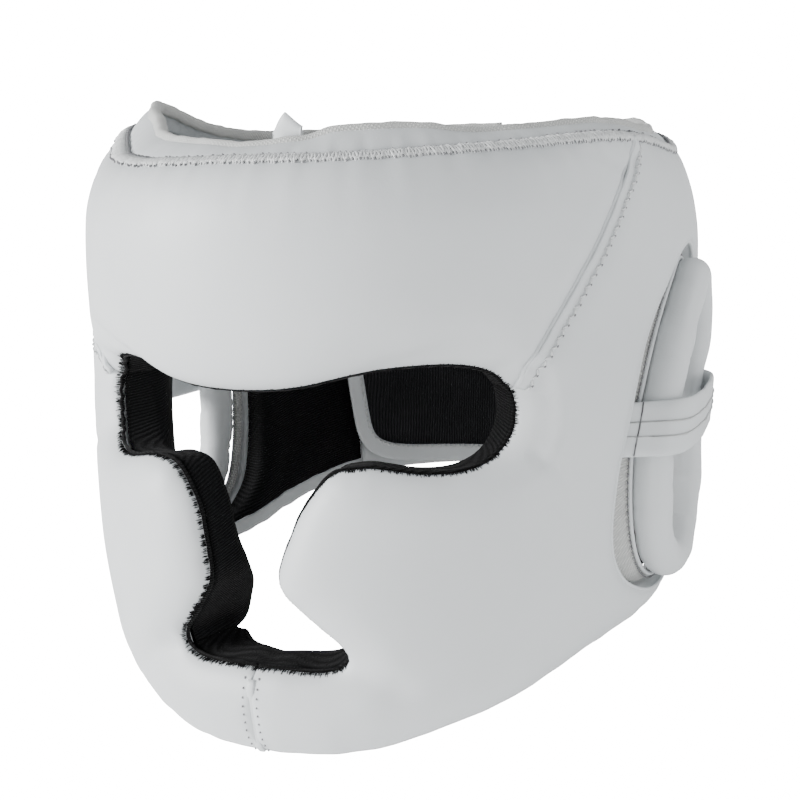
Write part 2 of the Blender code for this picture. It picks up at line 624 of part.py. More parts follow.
# Settle on the floor: tilt back onto the chin and the rear hem, centre, and flatten the contact
things = list(bpy.context.collection.objects)
tilt = Matrix.Rotation(REST_TILT, 4, "X")
for thing in things:
    thing.data.transform(tilt)
corners = np.array([tuple(v.co) for thing in things for v in thing.data.vertices])
low, high = corners.min(0), corners.max(0)
settle = Matrix.Translation((-(low[0] + high[0]) / 2, -(low[1] + high[1]) / 2, -low[2] - FLAT_CUT))
for thing in things:
    thing.data.transform(settle)
    work = bmesh.new()
    work.from_mesh(thing.data)
    bmesh.ops.remove_doubles(work, verts=work.verts[:], dist=1e-6)
    if min(v.co.z for v in work.verts) < 0:
        bmesh.ops.bisect_plane(work, geom=work.verts[:] + work.edges[:] + work.faces[:],
                               plane_co=(0, 0, 0), plane_no=(0, 0, 1), clear_inner=True)
        bmesh.ops.holes_fill(work, edges=[e for e in work.edges if e.is_boundary], sides=0)
    bmesh.ops.triangulate(work, faces=work.faces[:])
    bmesh.ops.recalc_face_normals(work, faces=work.faces[:])
    work.to_mesh(thing.data)
    work.free()
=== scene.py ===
import math

import bpy
import numpy as np
from mathutils import Matrix
from mathutils.geometry import delaunay_2d_cdt


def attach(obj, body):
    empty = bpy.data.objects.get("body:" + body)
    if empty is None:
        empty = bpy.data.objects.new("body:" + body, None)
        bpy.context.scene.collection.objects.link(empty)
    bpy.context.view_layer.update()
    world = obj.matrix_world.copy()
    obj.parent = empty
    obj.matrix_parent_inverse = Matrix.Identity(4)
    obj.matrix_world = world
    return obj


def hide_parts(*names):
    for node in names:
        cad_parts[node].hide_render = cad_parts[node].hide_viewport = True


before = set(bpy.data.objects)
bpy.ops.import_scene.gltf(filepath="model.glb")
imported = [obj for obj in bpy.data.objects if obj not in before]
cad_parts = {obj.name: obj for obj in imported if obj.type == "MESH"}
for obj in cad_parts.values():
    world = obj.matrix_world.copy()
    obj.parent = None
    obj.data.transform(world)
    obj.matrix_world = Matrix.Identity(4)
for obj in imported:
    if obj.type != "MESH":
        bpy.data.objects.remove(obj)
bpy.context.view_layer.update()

# The headgear is drawn upright, as it is worn, and then laid back on its chin and rear hem.
# The camera stands where it sees the wearer's left side of the face, slightly from above.
REST_TILT = math.radians(-14.4)
REST_SHIFT = np.array([0.0, -0.0289309, -0.0563409])
TILT = np.array([[1, 0, 0],
                 [0, math.cos(REST_TILT), -math.sin(REST_TILT)],
                 [0, math.sin(REST_TILT), math.cos(REST_TILT)]])


def lay(points):
    """Worn place to resting place: turned about X by the rest tilt, then shifted onto the floor."""
    return np.asarray(points) @ TILT.T + REST_SHIFT


def stand(axes, where):
    """Matrix whose columns are three axes and a place."""
    rows = [[float(axis[row]) for axis in axes] + [float(where[row])] for row in range(3)]
    return Matrix(rows + [[0, 0, 0, 1]])


AIM = np.array([0.0, 0.0, 0.118])
AIM_PIXEL, PICTURE, SENSOR = (409.3, 414.8), 800, 36
TURN, RISE, LEAN = math.radians(27.2), math.radians(10.0), math.radians(-2.5)
DISTANCE = 0.600
FOCAL_PIXELS = 1596.0
back = np.array([math.sin(TURN) * math.cos(RISE), -math.cos(TURN) * math.cos(RISE), math.sin(RISE)])
right = np.array([math.cos(TURN), math.sin(TURN), 0.0])
up = np.cross(back, right)
right, up = (math.cos(LEAN) * right + math.sin(LEAN) * up,
             -math.sin(LEAN) * right + math.cos(LEAN) * up)
eye = (AIM + back * DISTANCE - right * (AIM_PIXEL[0] - PICTURE / 2) / FOCAL_PIXELS * DISTANCE
       + up * (AIM_PIXEL[1] - PICTURE / 2) / FOCAL_PIXELS * DISTANCE)
lens = bpy.data.cameras.new("camera")
lens.sensor_width = SENSOR
lens.lens = FOCAL_PIXELS * SENSOR / PICTURE
lens.clip_start = 0.01
camera = bpy.data.objects.new("camera", lens)
camera.matrix_world = stand((TILT @ right, TILT @ up, TILT @ back), lay(eye))
bpy.context.collection.objects.link(camera)
bpy.context.scene.camera = camera

world = bpy.data.worlds.new("studio")
world.use_nodes = True
sky = world.node_tree.nodes["Background"].inputs
sky["Color"].default_value = (0.95, 0.98, 1.0, 1)
sky["Strength"].default_value = 0.50
bpy.context.scene.world = world


def soft_light(name, where, aim, size, watts):
    """Square area light pointed from one place to another."""
    lamp = bpy.data.lights.new(name, "AREA")
    lamp.shape = "SQUARE"
    lamp.size = size
    lamp.energy = watts
    holder = bpy.data.objects.new(name, lamp)
    away = np.subtract(where, aim)
    away = away / np.linalg.norm(away)
    side = np.cross((0, 0, 1), away)
    side = side / np.linalg.norm(side)
    rise = np.cross(away, side)
    holder.matrix_world = stand((side, rise, away), where)
    bpy.context.collection.objects.link(holder)


# Name, place, aim, size and watts.
LIGHTS = (("key", (-1.5, -1.1, 0.9), (0, 0, 0.1), 1.1, 82),
          ("low", (0.5, -1.6, 0.20), (0, 0, 0.05), 0.9, 12),
          ("rim", (1.3, 1.2, 0.8), (0.1, 0, 0.1), 1.0, 12),
          ("side", (1.3, -0.3, 0.10), (0.1, 0, 0.04), 0.6, 5))
for light in LIGHTS:
    soft_light(*light)

FLOOR_REACH, GLOW_SEEN, GLOW = 4, 18.0, 0.32
floor_mesh = bpy.data.meshes.new("floor")
corners = [(x * FLOOR_REACH, y * FLOOR_REACH, 0) for x, y in ((-1, -1), (1, -1), (1, 1), (-1, 1))]
floor_mesh.from_pydata(corners, [], [(0, 1, 2, 3)])
floor = bpy.data.objects.new("floor", floor_mesh)
bpy.context.collection.objects.link(floor)
paint = bpy.data.materials.new("floor_paint")
paint.use_nodes = True
floor_shader = paint.node_tree.nodes["Principled BSDF"]
floor_shader.inputs["Base Color"].default_value = (0.92, 0.92, 0.92, 1)
floor_shader.inputs["Roughness"].default_value = 0.9
floor_shader.inputs["Emission Color"].default_value = (1.0, 1.0, 1.0, 1)
seen = paint.node_tree.nodes.new("ShaderNodeLightPath")
glow = paint.node_tree.nodes.new("ShaderNodeMath")
glow.operation = "MULTIPLY_ADD"
glow.inputs[1].default_value = GLOW_SEEN
glow.inputs[2].default_value = GLOW
paint.node_tree.links.new(seen.outputs["Is Camera Ray"], glow.inputs[0])
paint.node_tree.links.new(glow.outputs[0], floor_shader.inputs["Emission Strength"])
floor_mesh.materials.append(paint)

# Forehead pad: foam under smooth white artificial leather, a thick roll over the brow that
# thins towards each eye. Its top is gathered into the crown seam.
HALF_WIDTH, FRONT_REACH, REAR_REACH, HEIGHT = 0.1103, 0.1256, 0.1198, 0.240
PATTERN_RADIUS = 0.112
LAYER_GAP = 0.0012
SEAM_GAP = 0.0006
FORM = np.array([
    (-0.0625, 0.585, 0.693, 0.545, 0.080), (0.0000, 0.722, 0.822, 0.694, 0.080),
    (0.0833, 0.856, 0.920, 0.810, 0.080), (0.2083, 0.938, 0.968, 0.892, 0.080),
    (0.3750, 0.994, 0.984, 0.942, 0.076), (0.5417, 1.000, 0.976, 0.975, 0.056),
    (0.6667, 0.976, 0.992, 0.992, 0.020), (0.7917, 0.955, 1.000, 1.000, 0.000),
    (0.8750, 0.931, 0.984, 0.975, 0.000), (1.0000, 0.866, 0.920, 0.909, 0.000),
    (1.0400, 0.838, 0.892, 0.880, 0.000)])
CROWN_RISE, CROWN_SAG, CROWN_EASE = 0.0085, 0.0060, 0.58
CHEEK_TURN, EYE_TURN = math.radians(1.7), math.radians(1.3)
EDGES = {
    "chin": [(0.0, 0.108), (0.0, 0.235)],
    "mouth": [(0.0, 0.235), (4.0, 0.236), (9.0, 0.234), (12.0, 0.235), (14.6, 0.241),
              (16.0, 0.253), (15.3, 0.272), (12.0, 0.300), (9.2, 0.325), (7.4, 0.343),
              (6.7, 0.363), (7.2, 0.390), (8.3, 0.420), (9.6, 0.452), (12.2, 0.485),
              (14.6, 0.505), (16.6, 0.511)],
    "eye": [(16.6, 0.511), (20.5, 0.513), (24.5, 0.508), (28.5, 0.502), (33.0, 0.500),
            (36.5, 0.503), (39.6, 0.512), (41.9, 0.527), (43.4, 0.548), (44.0, 0.575),
            (43.9, 0.600)],
    "brow": [(0.0, 0.610), (6.0, 0.612), (11.0, 0.617), (15.5, 0.625), (20.0, 0.631),
             (25.5, 0.636), (31.0, 0.638), (35.0, 0.637), (38.6, 0.632), (41.6, 0.621),
             (43.9, 0.600)],
    "diagonal": [(43.9, 0.600), (46.1, 0.632), (48.8, 0.659), (52.8, 0.697), (57.4, 0.739),
                 (62.9, 0.787), (68.8, 0.838), (73.8, 0.877), (79.0, 0.921)],
    "crown_front": [(0.0, 0.919), (21.0, 0.917), (42.0, 0.920), (60.0, 0.922), (79.0, 0.921)],
    "crown_side": [(79.0, 0.921), (105.0, 0.918), (130.0, 0.915), (155.0, 0.915), (178.5, 0.915)],
    "rear": [(178.5, 0.915), (178.5, 0.345)],
    "hem": [(0.0, 0.108), (10.0, 0.111), (20.0, 0.122), (31.0, 0.147), (43.7, 0.177),
            (54.7, 0.209), (65.0, 0.231), (76.0, 0.242), (86.0, 0.250), (100.0, 0.262),
            (113.0, 0.282), (126.0, 0.303), (143.0, 0.326), (160.0, 0.340), (178.5, 0.345)],
    "ear": [(84.5, 0.705), (78.9, 0.677), (73.2, 0.635), (69.6, 0.590), (67.5, 0.553),
            (65.4, 0.510), (63.8, 0.475), (62.4, 0.423), (61.9, 0.384), (62.7, 0.348),
            (65.9, 0.314), (71.8, 0.290), (78.8, 0.279), (86.0, 0.279), (92.8, 0.290),
            (98.3, 0.313), (102.8, 0.352), (105.4, 0.415), (106.9, 0.490), (107.8, 0.560),
            (109.0, 0.630), (109.3, 0.690), (106.6, 0.735), (101.3, 0.756), (95.3, 0.750),
            (89.9, 0.732), (84.5, 0.705)],
    "ring": [(94.0, 0.680), (87.6, 0.645), (81.8, 0.605), (77.2, 0.562), (74.0, 0.515),
             (72.7, 0.460), (72.6, 0.405), (73.8, 0.362), (76.6, 0.335), (81.2, 0.319),
             (87.4, 0.315), (93.2, 0.327), (97.7, 0.357), (100.2, 0.408), (101.4, 0.470),
             (101.0, 0.530), (102.9, 0.590), (105.0, 0.640), (103.8, 0.686), (99.6, 0.703),
             (94.0, 0.680)],
}
SHOULDERS = {
    "mouth": (0.0080, 0.016), "eye": (0.0080, 0.016), "brow": (0.0090, 0.020),
    "diagonal": (0.0045, 0.010), "crown_front": (0.0125, 0.024), "crown_side": (0.0125, 0.024),
    "rear": (0.0030, 0.008), "hem": (0.0070, 0.016), "chin": (0.0020, 0.007),
    "ear": (0.0030, 0.007)}
LEDGE = [(12.0, 0.617), (18.0, 0.632), (25.0, 0.649), (32.0, 0.665), (38.0, 0.676), (45.0, 0.684)]


def smooth_table(xs, ys, x):
    """Monotone cubic through the rows of a table: Hermite with harmonic-mean slopes."""
    h = np.diff(xs)
    slope = np.diff(ys) / h
    m = np.zeros(len(xs))
    m[0], m[-1] = slope[0], slope[-1]
    same = slope[1:] * slope[:-1] > 0
    inner = np.zeros(len(xs) - 2)
    inner[same] = 2 * slope[1:][same] * slope[:-1][same] / (slope[1:][same] + slope[:-1][same])
    m[1:-1] = inner
    i = np.clip(np.searchsorted(xs, x) - 1, 0, len(h) - 1)
    t = (x - xs[i]) / h[i]
    return ((1 + 2 * t) * (1 - t) ** 2 * ys[i] + t * (1 - t) ** 2 * h[i] * m[i]
            + t * t * (3 - 2 * t) * ys[i + 1] + t * t * (t - 1) * h[i] * m[i + 1])


def drape(u, share):
    """Turn round the head and rise of the soft shell, from its angle and height.

    Each term is its amount times e to the minus squared distance over its reach, in angle and
    height; the two crown terms fade in between 0.70 and 0.92 of the height by 3t^2 - 2t^3.
    """
    turn = np.degrees(np.arctan2(np.sin(u), np.cos(u)))
    top = np.clip((share - 0.70) / 0.22, 0, 1)
    rise = (CROWN_RISE * np.exp(-((turn + 72) / 24) ** 2)
            - CROWN_SAG * np.exp(-((turn - 108) / 22) ** 2)) * top ** 2 * (3 - 2 * top)
    twist = (EYE_TURN * np.exp(-((share - 0.56) / 0.07) ** 2 - ((turn - 44) / 14) ** 2)
             - CHEEK_TURN * np.exp(-((share - 0.365) / 0.075) ** 2 - (turn / 16) ** 2))
    return u + twist, rise


def head_form(pattern):
    """Superellipse round the head: half width, front and rear reach each follow the height.

    Behind the ears the radius is cut by the taper, full at 102 degrees and 0.4 of it at the nape.
    """
    share = pattern[:, 1] / HEIGHT
    u, rise = drape(pattern[:, 0] / PATTERN_RADIUS, share)
    half = smooth_table(FORM[:, 0], FORM[:, 1], share) * HALF_WIDTH
    front = smooth_table(FORM[:, 0], FORM[:, 2], share) * FRONT_REACH
    rear = smooth_table(FORM[:, 0], FORM[:, 3], share) * REAR_REACH
    side, ahead = np.sin(u), np.cos(u)
    blend = 0.5 + 0.5 * np.tanh(ahead / 0.25)
    reach = blend * front + (1 - blend) * rear
    radius = ((np.abs(side) / half) ** 2.05 + (np.abs(ahead) / reach) ** 2.05) ** (-1 / 2.05)
    turn = np.abs(np.degrees(np.arctan2(side, ahead)))
    behind = np.clip((turn - 68) / 34, 0, 1)
    nape = np.clip((turn - 115) / 65, 0, 1)
    taper = smooth_table(FORM[:, 0], FORM[:, 4], share)
    radius *= 1 - taper * behind ** 2 * (3 - 2 * behind) * (1 - 0.6 * nape ** 2 * (3 - 2 * nape))
    return np.stack([radius * side, -radius * ahead, pattern[:, 1] + rise], axis=1)


def outward(pattern):
    """Unit normal of the head form: cross product of its steps along and up the pattern."""
    pattern = np.atleast_2d(np.asarray(pattern, float))
    along = head_form(pattern + (1e-4, 0)) - head_form(pattern - (1e-4, 0))
    upward = head_form(pattern + (0, 1e-4)) - head_form(pattern - (0, 1e-4))
    normal = np.cross(along, upward)
    return normal / np.linalg.norm(normal, axis=1)[:, None]


def skin(pattern, depth):
    """Head form moved inward along its normal by the depth, laid at rest."""
    pattern = np.atleast_2d(np.asarray(pattern, float))
    return lay(head_form(pattern) - outward(pattern) * np.reshape(depth, (-1, 1)))


def on_pattern(rows):
    """Degrees and shares of the height to lengths on the flat pattern."""
    rows = np.atleast_2d(np.array(rows, float))
    return np.stack([np.radians(rows[:, 0]) * PATTERN_RADIUS, rows[:, 1] * HEIGHT], axis=1)


def runs(line):
    """Distance along a polyline at each of its points."""
    return np.concatenate([[0], np.cumsum(np.linalg.norm(np.diff(line, axis=0), axis=1))])


def read_at(line, run, at):
    """Rows of a polyline read between its points, at places along the run."""
    return np.stack([np.interp(at, run, line[:, k]) for k in range(line.shape[1])], axis=1)


def spaced(line, step):
    """Even places along a polyline."""
    run = runs(line)
    return read_at(line, run, np.linspace(0, run[-1], max(2, int(round(run[-1] / step)) + 1)))


def eased(line, times):
    """Line smoothed in place between its ends: half itself, a quarter each neighbour."""
    for _ in range(times):
        line[1:-1] = line[1:-1] * 0.5 + 0.25 * (line[2:] + line[:-2])
    return line


def ringed(loop):
    """Loop with its first place repeated at its end."""
    return np.vstack([loop, loop[:1]])


def turn_of(places):
    """Angle round the head in degrees from a place on the pattern."""
    return np.degrees(places[:, 0] / PATTERN_RADIUS)


def one_side(places):
    """Places of the right half laid over those of the left."""
    return np.stack([np.abs(places[:, 0]), places[:, 1]], axis=1)


def edge(name, side=1, step=0.0022):
    """Catmull-Rom curve through a named outline table, evenly spaced, mirrored by side."""
    rows = on_pattern(EDGES[name])
    if np.allclose(rows[0], rows[-1]):
        rows = np.vstack([rows[-2], rows, rows[1]])
    else:
        rows = np.vstack([2 * rows[0] - rows[1], rows, 2 * rows[-1] - rows[-2]])
    t = np.linspace(0, 1, 20, endpoint=False)[None, :, None]
    a, b, c, d = (rows[k:len(rows) - 3 + k, None, :] for k in range(4))
    fine = 0.5 * (2 * b + (c - a) * t + (2 * a - 5 * b + 4 * c - d) * t ** 2
                  + (3 * b - a - 3 * c + d) * t ** 3)
    fine = np.vstack([fine.reshape(-1, 2), rows[-2]])
    return spaced(fine, step) * (side, 1)


def nearest(places, line):
    """Distance from each place to a polyline, and the run along it of the closest point."""
    a, b = line[:-1], line[1:]
    run = b - a
    length = np.linalg.norm(run, axis=1)
    start = np.concatenate([[0], np.cumsum(length)])[:-1]
    gaps, runs = [], []
    for chunk in np.array_split(places, max(1, len(places) // 4000)):
        offset = chunk[:, None, :] - a[None]
        t = np.clip((offset * run).sum(2) / np.maximum(length ** 2, 1e-18), 0, 1)
        gap = np.linalg.norm(offset - t[..., None] * run, axis=2)
        pick = gap.argmin(1)
        k = np.arange(len(chunk))
        gaps.append(gap[k, pick])
        runs.append(start[pick] + t[k, pick] * length[pick])
    return np.concatenate(gaps), np.concatenate(runs)


def waver(x, wave, seed):
    """Uneven ripple between about -1 and 1: three sines of unlike wavelength added."""
    p = 2 * math.pi * x / wave
    return (np.sin(p + seed) + 0.6 * np.sin(p * 1.73 + 2.1 * seed + 1)
            + 0.5 * np.sin(p * 0.61 - seed)) / 2.1


def ramp(x, low, high):
    """Smooth step from 0 at low to 1 at high."""
    t = np.clip((x - low) / (high - low), 0, 1)
    return t * t * (3 - 2 * t)


def shoulder(gap, sink, width):
    """Quarter-round: sinks to its full depth at the seam and levels out over its width."""
    near = 1 - np.minimum(gap / width, 1)
    return sink * (1 - np.sqrt(np.maximum(1 - near ** 2, 0)))


def crease(places, start, end, deep, wide):
    """Soft valley along a line between two places, fading towards both ends."""
    line = on_pattern([start, end])
    run = line[1] - line[0]
    t = ((places - line[0]) @ run) / (run @ run)
    off = np.linalg.norm(places - line[0] - np.clip(t, 0, 1)[:, None] * run, axis=1)
    return deep * np.exp(-(off / wide) ** 2) * ramp(t, -0.25, 0.25) * (1 - ramp(t, 0.6, 1.25))


def crown_ease(places):
    """0 in front to 1 at the sides and behind, where the crown seam is pulled in less."""
    return ramp(np.abs(turn_of(places)), 42, 76)


PULLS = {"crown_front": 0.0007, "crown_side": 0.0006, "mouth": 0.00025, "eye": 0.00025,
         "hem": 0.0004, "diagonal": 0.0003, "rear": 0.0002}
# Start, end, depth on the left and on the right side, width.
CREASES = (((45.5, 0.520), (50.5, 0.482), (0.0011, 0.0011), 0.0016),
           ((16.5, 0.250), (26.0, 0.215), (0.0016, 0.0030), 0.0055),
           ((71.0, 0.860), (79.5, 0.905), (0.0009, 0.0009), 0.0022),
           ((63.0, 0.900), (72.0, 0.870), (0.0007, 0.0007), 0.0020))
LEDGE_SINK, CORNER_SINK, SAG = 0.0042, 0.0020, 0.0004


def leather_depth(places):
    """How far the white leather lies below the form: sewn shoulders, gathers, folds and sag."""
    u = turn_of(places)
    folded = one_side(places)
    depth = np.zeros(len(places))
    for seed, (name, (sink, wide)) in enumerate(SHOULDERS.items()):
        gap, run = nearest(folded, edge(name, step=0.004))
        if name.startswith("crown"):
            sink = sink * (1 - CROWN_EASE * crown_ease(places))
        depth = np.maximum(depth, shoulder(gap, sink, wide))
        if name in PULLS:
            ripple = waver(run + 0.31 * np.sign(u), 0.011 if "crown" in name else 0.017, seed)
            depth += PULLS[name] * ripple * ramp(gap, 0, 0.002) * np.exp(-gap / 0.009)
    ledge = on_pattern(LEDGE)
    above = places[:, 1] - np.interp(folded[:, 0], ledge[:, 0], ledge[:, 1])
    here = ramp(np.abs(u), 13, 24) * (1 - ramp(np.abs(u), 33, 47)) * (places[:, 1] > 0.60 * HEIGHT)
    depth += here * np.where(above > 0, shoulder(above, LEDGE_SINK, 0.020),
                             LEDGE_SINK * (1 - 0.25 * ramp(-above, 0, 0.01)))
    gap, _ = nearest(folded, edge("eye", step=0.004)[10:])
    corner = ramp(np.abs(u), 34, 42) * ramp(places[:, 1] / HEIGHT, 0.47, 0.53)
    depth += CORNER_SINK * corner * (1 - ramp(gap, 0.008, 0.0135))
    for s in (-1, 1):
        for start, end, deep, wide in CREASES:
            depth += crease(places * (s, 1), start, end, deep[s < 0], wide)
    depth += (SAG * waver(places[:, 0] + 0.4 * places[:, 1], 0.090, 0.7)
              * waver(places[:, 1], 0.110, 2.2))
    return depth


CUSHION, CUSHION_LOSS, LEATHER = 0.0138, 0.0038, 0.0024


def joint_depth(places):
    """Where the white cushion meets the lining, thinner towards the free edges."""
    folded = one_side(places)
    free = [nearest(folded, edge(name, step=0.006))[0] for name in ("mouth", "eye", "brow", "hem", "ear")]
    near = 1 - np.minimum(np.min(free, axis=0) / 0.012, 1)
    return np.maximum(CUSHION - CUSHION_LOSS * near ** 2, 0)


def parting(places):
    """Depth between cushion and lining, always below the leather."""
    return np.maximum(joint_depth(places), leather_depth(places) + LEATHER)


def inside(places, loop):
    """Even-odd test against a closed loop."""
    a, b = loop, np.roll(loop, -1, axis=0)
    rise = np.where(b[:, 1] == a[:, 1], 1e-12, b[:, 1] - a[:, 1])
    found = []
    for chunk in np.array_split(places, max(1, len(places) // 4000)):
        x, y = chunk[:, :1], chunk[:, 1:]
        crosses = (a[:, 1] > y) != (b[:, 1] > y)
        left = x < a[:, 0] + (y - a[:, 1]) * (b[:, 0] - a[:, 0]) / rise
        found.append((crosses & left).sum(1) % 2 == 1)
    return np.concatenate(found)


def shrink(loop, amount):
    """Loop moved into its own area along its normals."""
    ahead, behind = np.roll(loop, -1, axis=0), np.roll(loop, 1, axis=0)
    run = ahead - behind
    normal = np.stack([-run[:, 1], run[:, 0]], axis=1)
    normal /= np.linalg.norm(normal, axis=1)[:, None]
    area = np.sum(loop[:, 0] * ahead[:, 1] - ahead[:, 0] * loop[:, 1])
    return loop + normal * amount * np.sign(area)


LATTICE_ROW = 0.866


def triangulate(loops, step, bands=()):
    """Delaunay triangles over an outline with holes: the outline, bands beside it, a lattice."""
    places = np.vstack(loops)
    first = np.cumsum([0] + [len(loop) for loop in loops])
    edges = [(first[j] + k, first[j] + (k + 1) % len(loop))
             for j, loop in enumerate(loops) for k in range(len(loop))]
    low, high = loops[0].min(0), loops[0].max(0)
    xs = np.arange(math.floor(low[0] / step), high[0] / step + 1) * step
    ys = np.arange(math.floor(low[1] / step / LATTICE_ROW), high[1] / step / LATTICE_ROW + 1)
    x, y = np.meshgrid(xs, ys)
    lattice = np.stack([(x + (y % 2) * step / 2).ravel(), (y * step * LATTICE_ROW).ravel()], axis=1)
    extras = [(np.vstack([shrink(loop, -band if k else band) for k, loop in enumerate(loops)]),
               band * 0.93) for band in bands]
    extras.append((lattice, (bands[-1] if bands else 0) + step * 0.45))
    parts = [places]
    for extra, clear in extras:
        keep = inside(extra, loops[0])
        for hole in loops[1:]:
            keep &= ~inside(extra, hole)
        gap = np.min([nearest(extra, ringed(loop))[0] for loop in loops], axis=0)
        parts.append(extra[keep & (gap > clear)])
    everything = np.vstack(parts)
    verts, _, faces, _, _, _ = delaunay_2d_cdt(everything.tolist(), edges, [], 0, 1e-8, False)
    verts = np.array([tuple(v) for v in verts])
    faces = np.array([f for f in faces if len(f) == 3])
    middle = verts[faces].mean(1)
    keep = inside(middle, loops[0])
    for hole in loops[1:]:
        keep &= ~inside(middle, hole)
    return verts, faces[keep]


def make_piece(name, verts, faces, uv=None):
    """Mesh object at the origin from arrays, with an optional pattern map per vertex."""
    mesh = bpy.data.meshes.new(name)
    mesh.from_pydata(np.asarray(verts).tolist(), [], [list(map(int, f)) for f in faces])
    mesh.validate()
    mesh.polygons.foreach_set("use_smooth", np.full(len(mesh.polygons), True))
    if uv is not None:
        layer = mesh.uv_layers.new(name="pattern")
        corner = np.empty(len(mesh.loops), dtype=np.int32)
        mesh.loops.foreach_get("vertex_index", corner)
        layer.data.foreach_set("uv", np.asarray(uv, float)[corner].ravel())
    mesh.update()
    piece = bpy.data.objects.new(name, mesh)
    bpy.context.collection.objects.link(piece)
    return piece


def cushion(name, loops, outer, inner, outer_step, inner_step, wall_rows=2, fine_inside=False):
    """Closed pad: a sheet at the outer depth, one at the inner depth, and a wall between them."""
    places_out, faces_out = triangulate(loops, outer_step, () if fine_inside else EDGE_BANDS)
    places_in, faces_in = triangulate(loops, inner_step, EDGE_BANDS if fine_inside else ())
    rim = sum(len(loop) for loop in loops)
    depth_out, depth_in = outer(places_out), inner(places_in)
    verts = [skin(places_out, depth_out), skin(places_in, depth_in)]
    uvs = [places_out, places_in]
    offset = len(places_out) + len(places_in)
    faces = [faces_out, faces_in[:, ::-1] + len(places_out)]
    rows = [np.arange(rim)]
    for k in range(1, wall_rows):
        share = k / wall_rows
        verts.append(skin(places_out[:rim], depth_out[:rim] * (1 - share) + depth_in[:rim] * share))
        uvs.append(places_out[:rim])
        rows.append(np.arange(rim) + offset + (k - 1) * rim)
    rows.append(np.arange(rim) + len(places_out))
    first = np.cumsum([0] + [len(loop) for loop in loops])
    quads = []
    for k, loop in enumerate(loops):
        span = np.arange(first[k], first[k + 1])
        ahead, after = np.roll(span, -1), np.roll(loop, -1, axis=0)
        area = np.sum(loop[:, 0] * after[:, 1] - after[:, 0] * loop[:, 1])
        for upper, lower in zip(rows[:-1], rows[1:]):
            quad = np.stack([upper[ahead], upper[span], lower[span], lower[ahead]], axis=1)
            quads.append(quad if (area > 0) == (k == 0) else quad[:, ::-1])
    faces = [tuple(f) for f in np.vstack(faces)] + [tuple(f) for f in np.vstack(quads)]
    verts = np.vstack(verts)
    verts[:, 2] = np.maximum(verts[:, 2], 0.0)
    return make_piece(name, verts, faces, np.vstack(uvs))


def laid(parts, side=1):
    """Named edges in turn; a minus sign runs one backwards."""
    return [edge(p.strip("-"), side)[::-1 if p[0] == "-" else 1] for p in parts]


def outline(parts, side):
    """Loop from named edges laid end to end."""
    return shrink(np.vstack([line[:-1] for line in laid(parts, side)]), SEAM_GAP / 2)


def both(parts):
    """Loop across both sides of the head from edges that run from the middle back to the middle."""
    lines = laid(parts)
    left = np.vstack([line[:-1] for line in lines] + [lines[-1][-1:]])
    return shrink(np.vstack([left, left[::-1][1:-1] * (-1, 1)]), SEAM_GAP / 2)


def tree_of(name):
    """New material with its node tree and shader."""
    material = bpy.data.materials.new(name)
    material.use_nodes = True
    return material, material.node_tree, material.node_tree.nodes["Principled BSDF"]


def tune(node, **settings):
    """Set a node's settings; a key that names a socket sets that socket."""
    for key, value in settings.items():
        if hasattr(node, key):
            setattr(node, key, value)
        else:
            node.inputs[key.replace("_", " ")].default_value = value
    return node


def put(tree, kind, **settings):
    """New node with its settings."""
    return tune(tree.nodes.new(kind), **settings)


def wire(tree, *pairs):
    """Link each pair's output to its input."""
    for source, target in pairs:
        tree.links.new(source, target)


def two_tones(tree, dark, light):
    """Mix of two colours."""
    tone = put(tree, "ShaderNodeMix", data_type="RGBA")
    tone.inputs[6].default_value = (*dark, 1)
    tone.inputs[7].default_value = (*light, 1)
    return tone


def settled(piece, material, slot, *nodes):
    """Give a piece its material and let it ride on the part; it stands for the named solids."""
    piece.data.materials.append(material)
    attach(piece, "root")
    if nodes:
        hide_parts(*nodes)
    return piece


def grain_group():
    """Fine pebble grain and slow mottling of a coated leather."""
    group = bpy.data.node_groups.new("coated_grain", "ShaderNodeTree")
    group.interface.new_socket("Scale", in_out="INPUT", socket_type="NodeSocketFloat")
    group.interface.new_socket("Height", in_out="OUTPUT", socket_type="NodeSocketFloat")
    group.interface.new_socket("Mottle", in_out="OUTPUT", socket_type="NodeSocketFloat")
    source = group.nodes.new("NodeGroupInput")
    sink = group.nodes.new("NodeGroupOutput")
    place = group.nodes.new("ShaderNodeTexCoord")
    pebble = put(group, "ShaderNodeTexVoronoi", feature="SMOOTH_F1", Smoothness=0.6)
    fine = put(group, "ShaderNodeTexNoise", Scale=2600.0, Detail=2.0)
    slow = put(group, "ShaderNodeTexNoise", Scale=22.0, Detail=3.0, Roughness=0.6)
    add = put(group, "ShaderNodeMath", operation="MULTIPLY_ADD")
    add.inputs[1].default_value = 0.5
    wire(group, *((place.outputs["Object"], node.inputs["Vector"]) for node in (pebble, fine, slow)),
         (source.outputs["Scale"], pebble.inputs["Scale"]), (fine.outputs["Fac"], add.inputs[0]),
         (pebble.outputs["Distance"], add.inputs[2]), (add.outputs[0], sink.inputs["Height"]),
         (slow.outputs["Fac"], sink.inputs["Mottle"]))
    return group


coated_grain = grain_group()


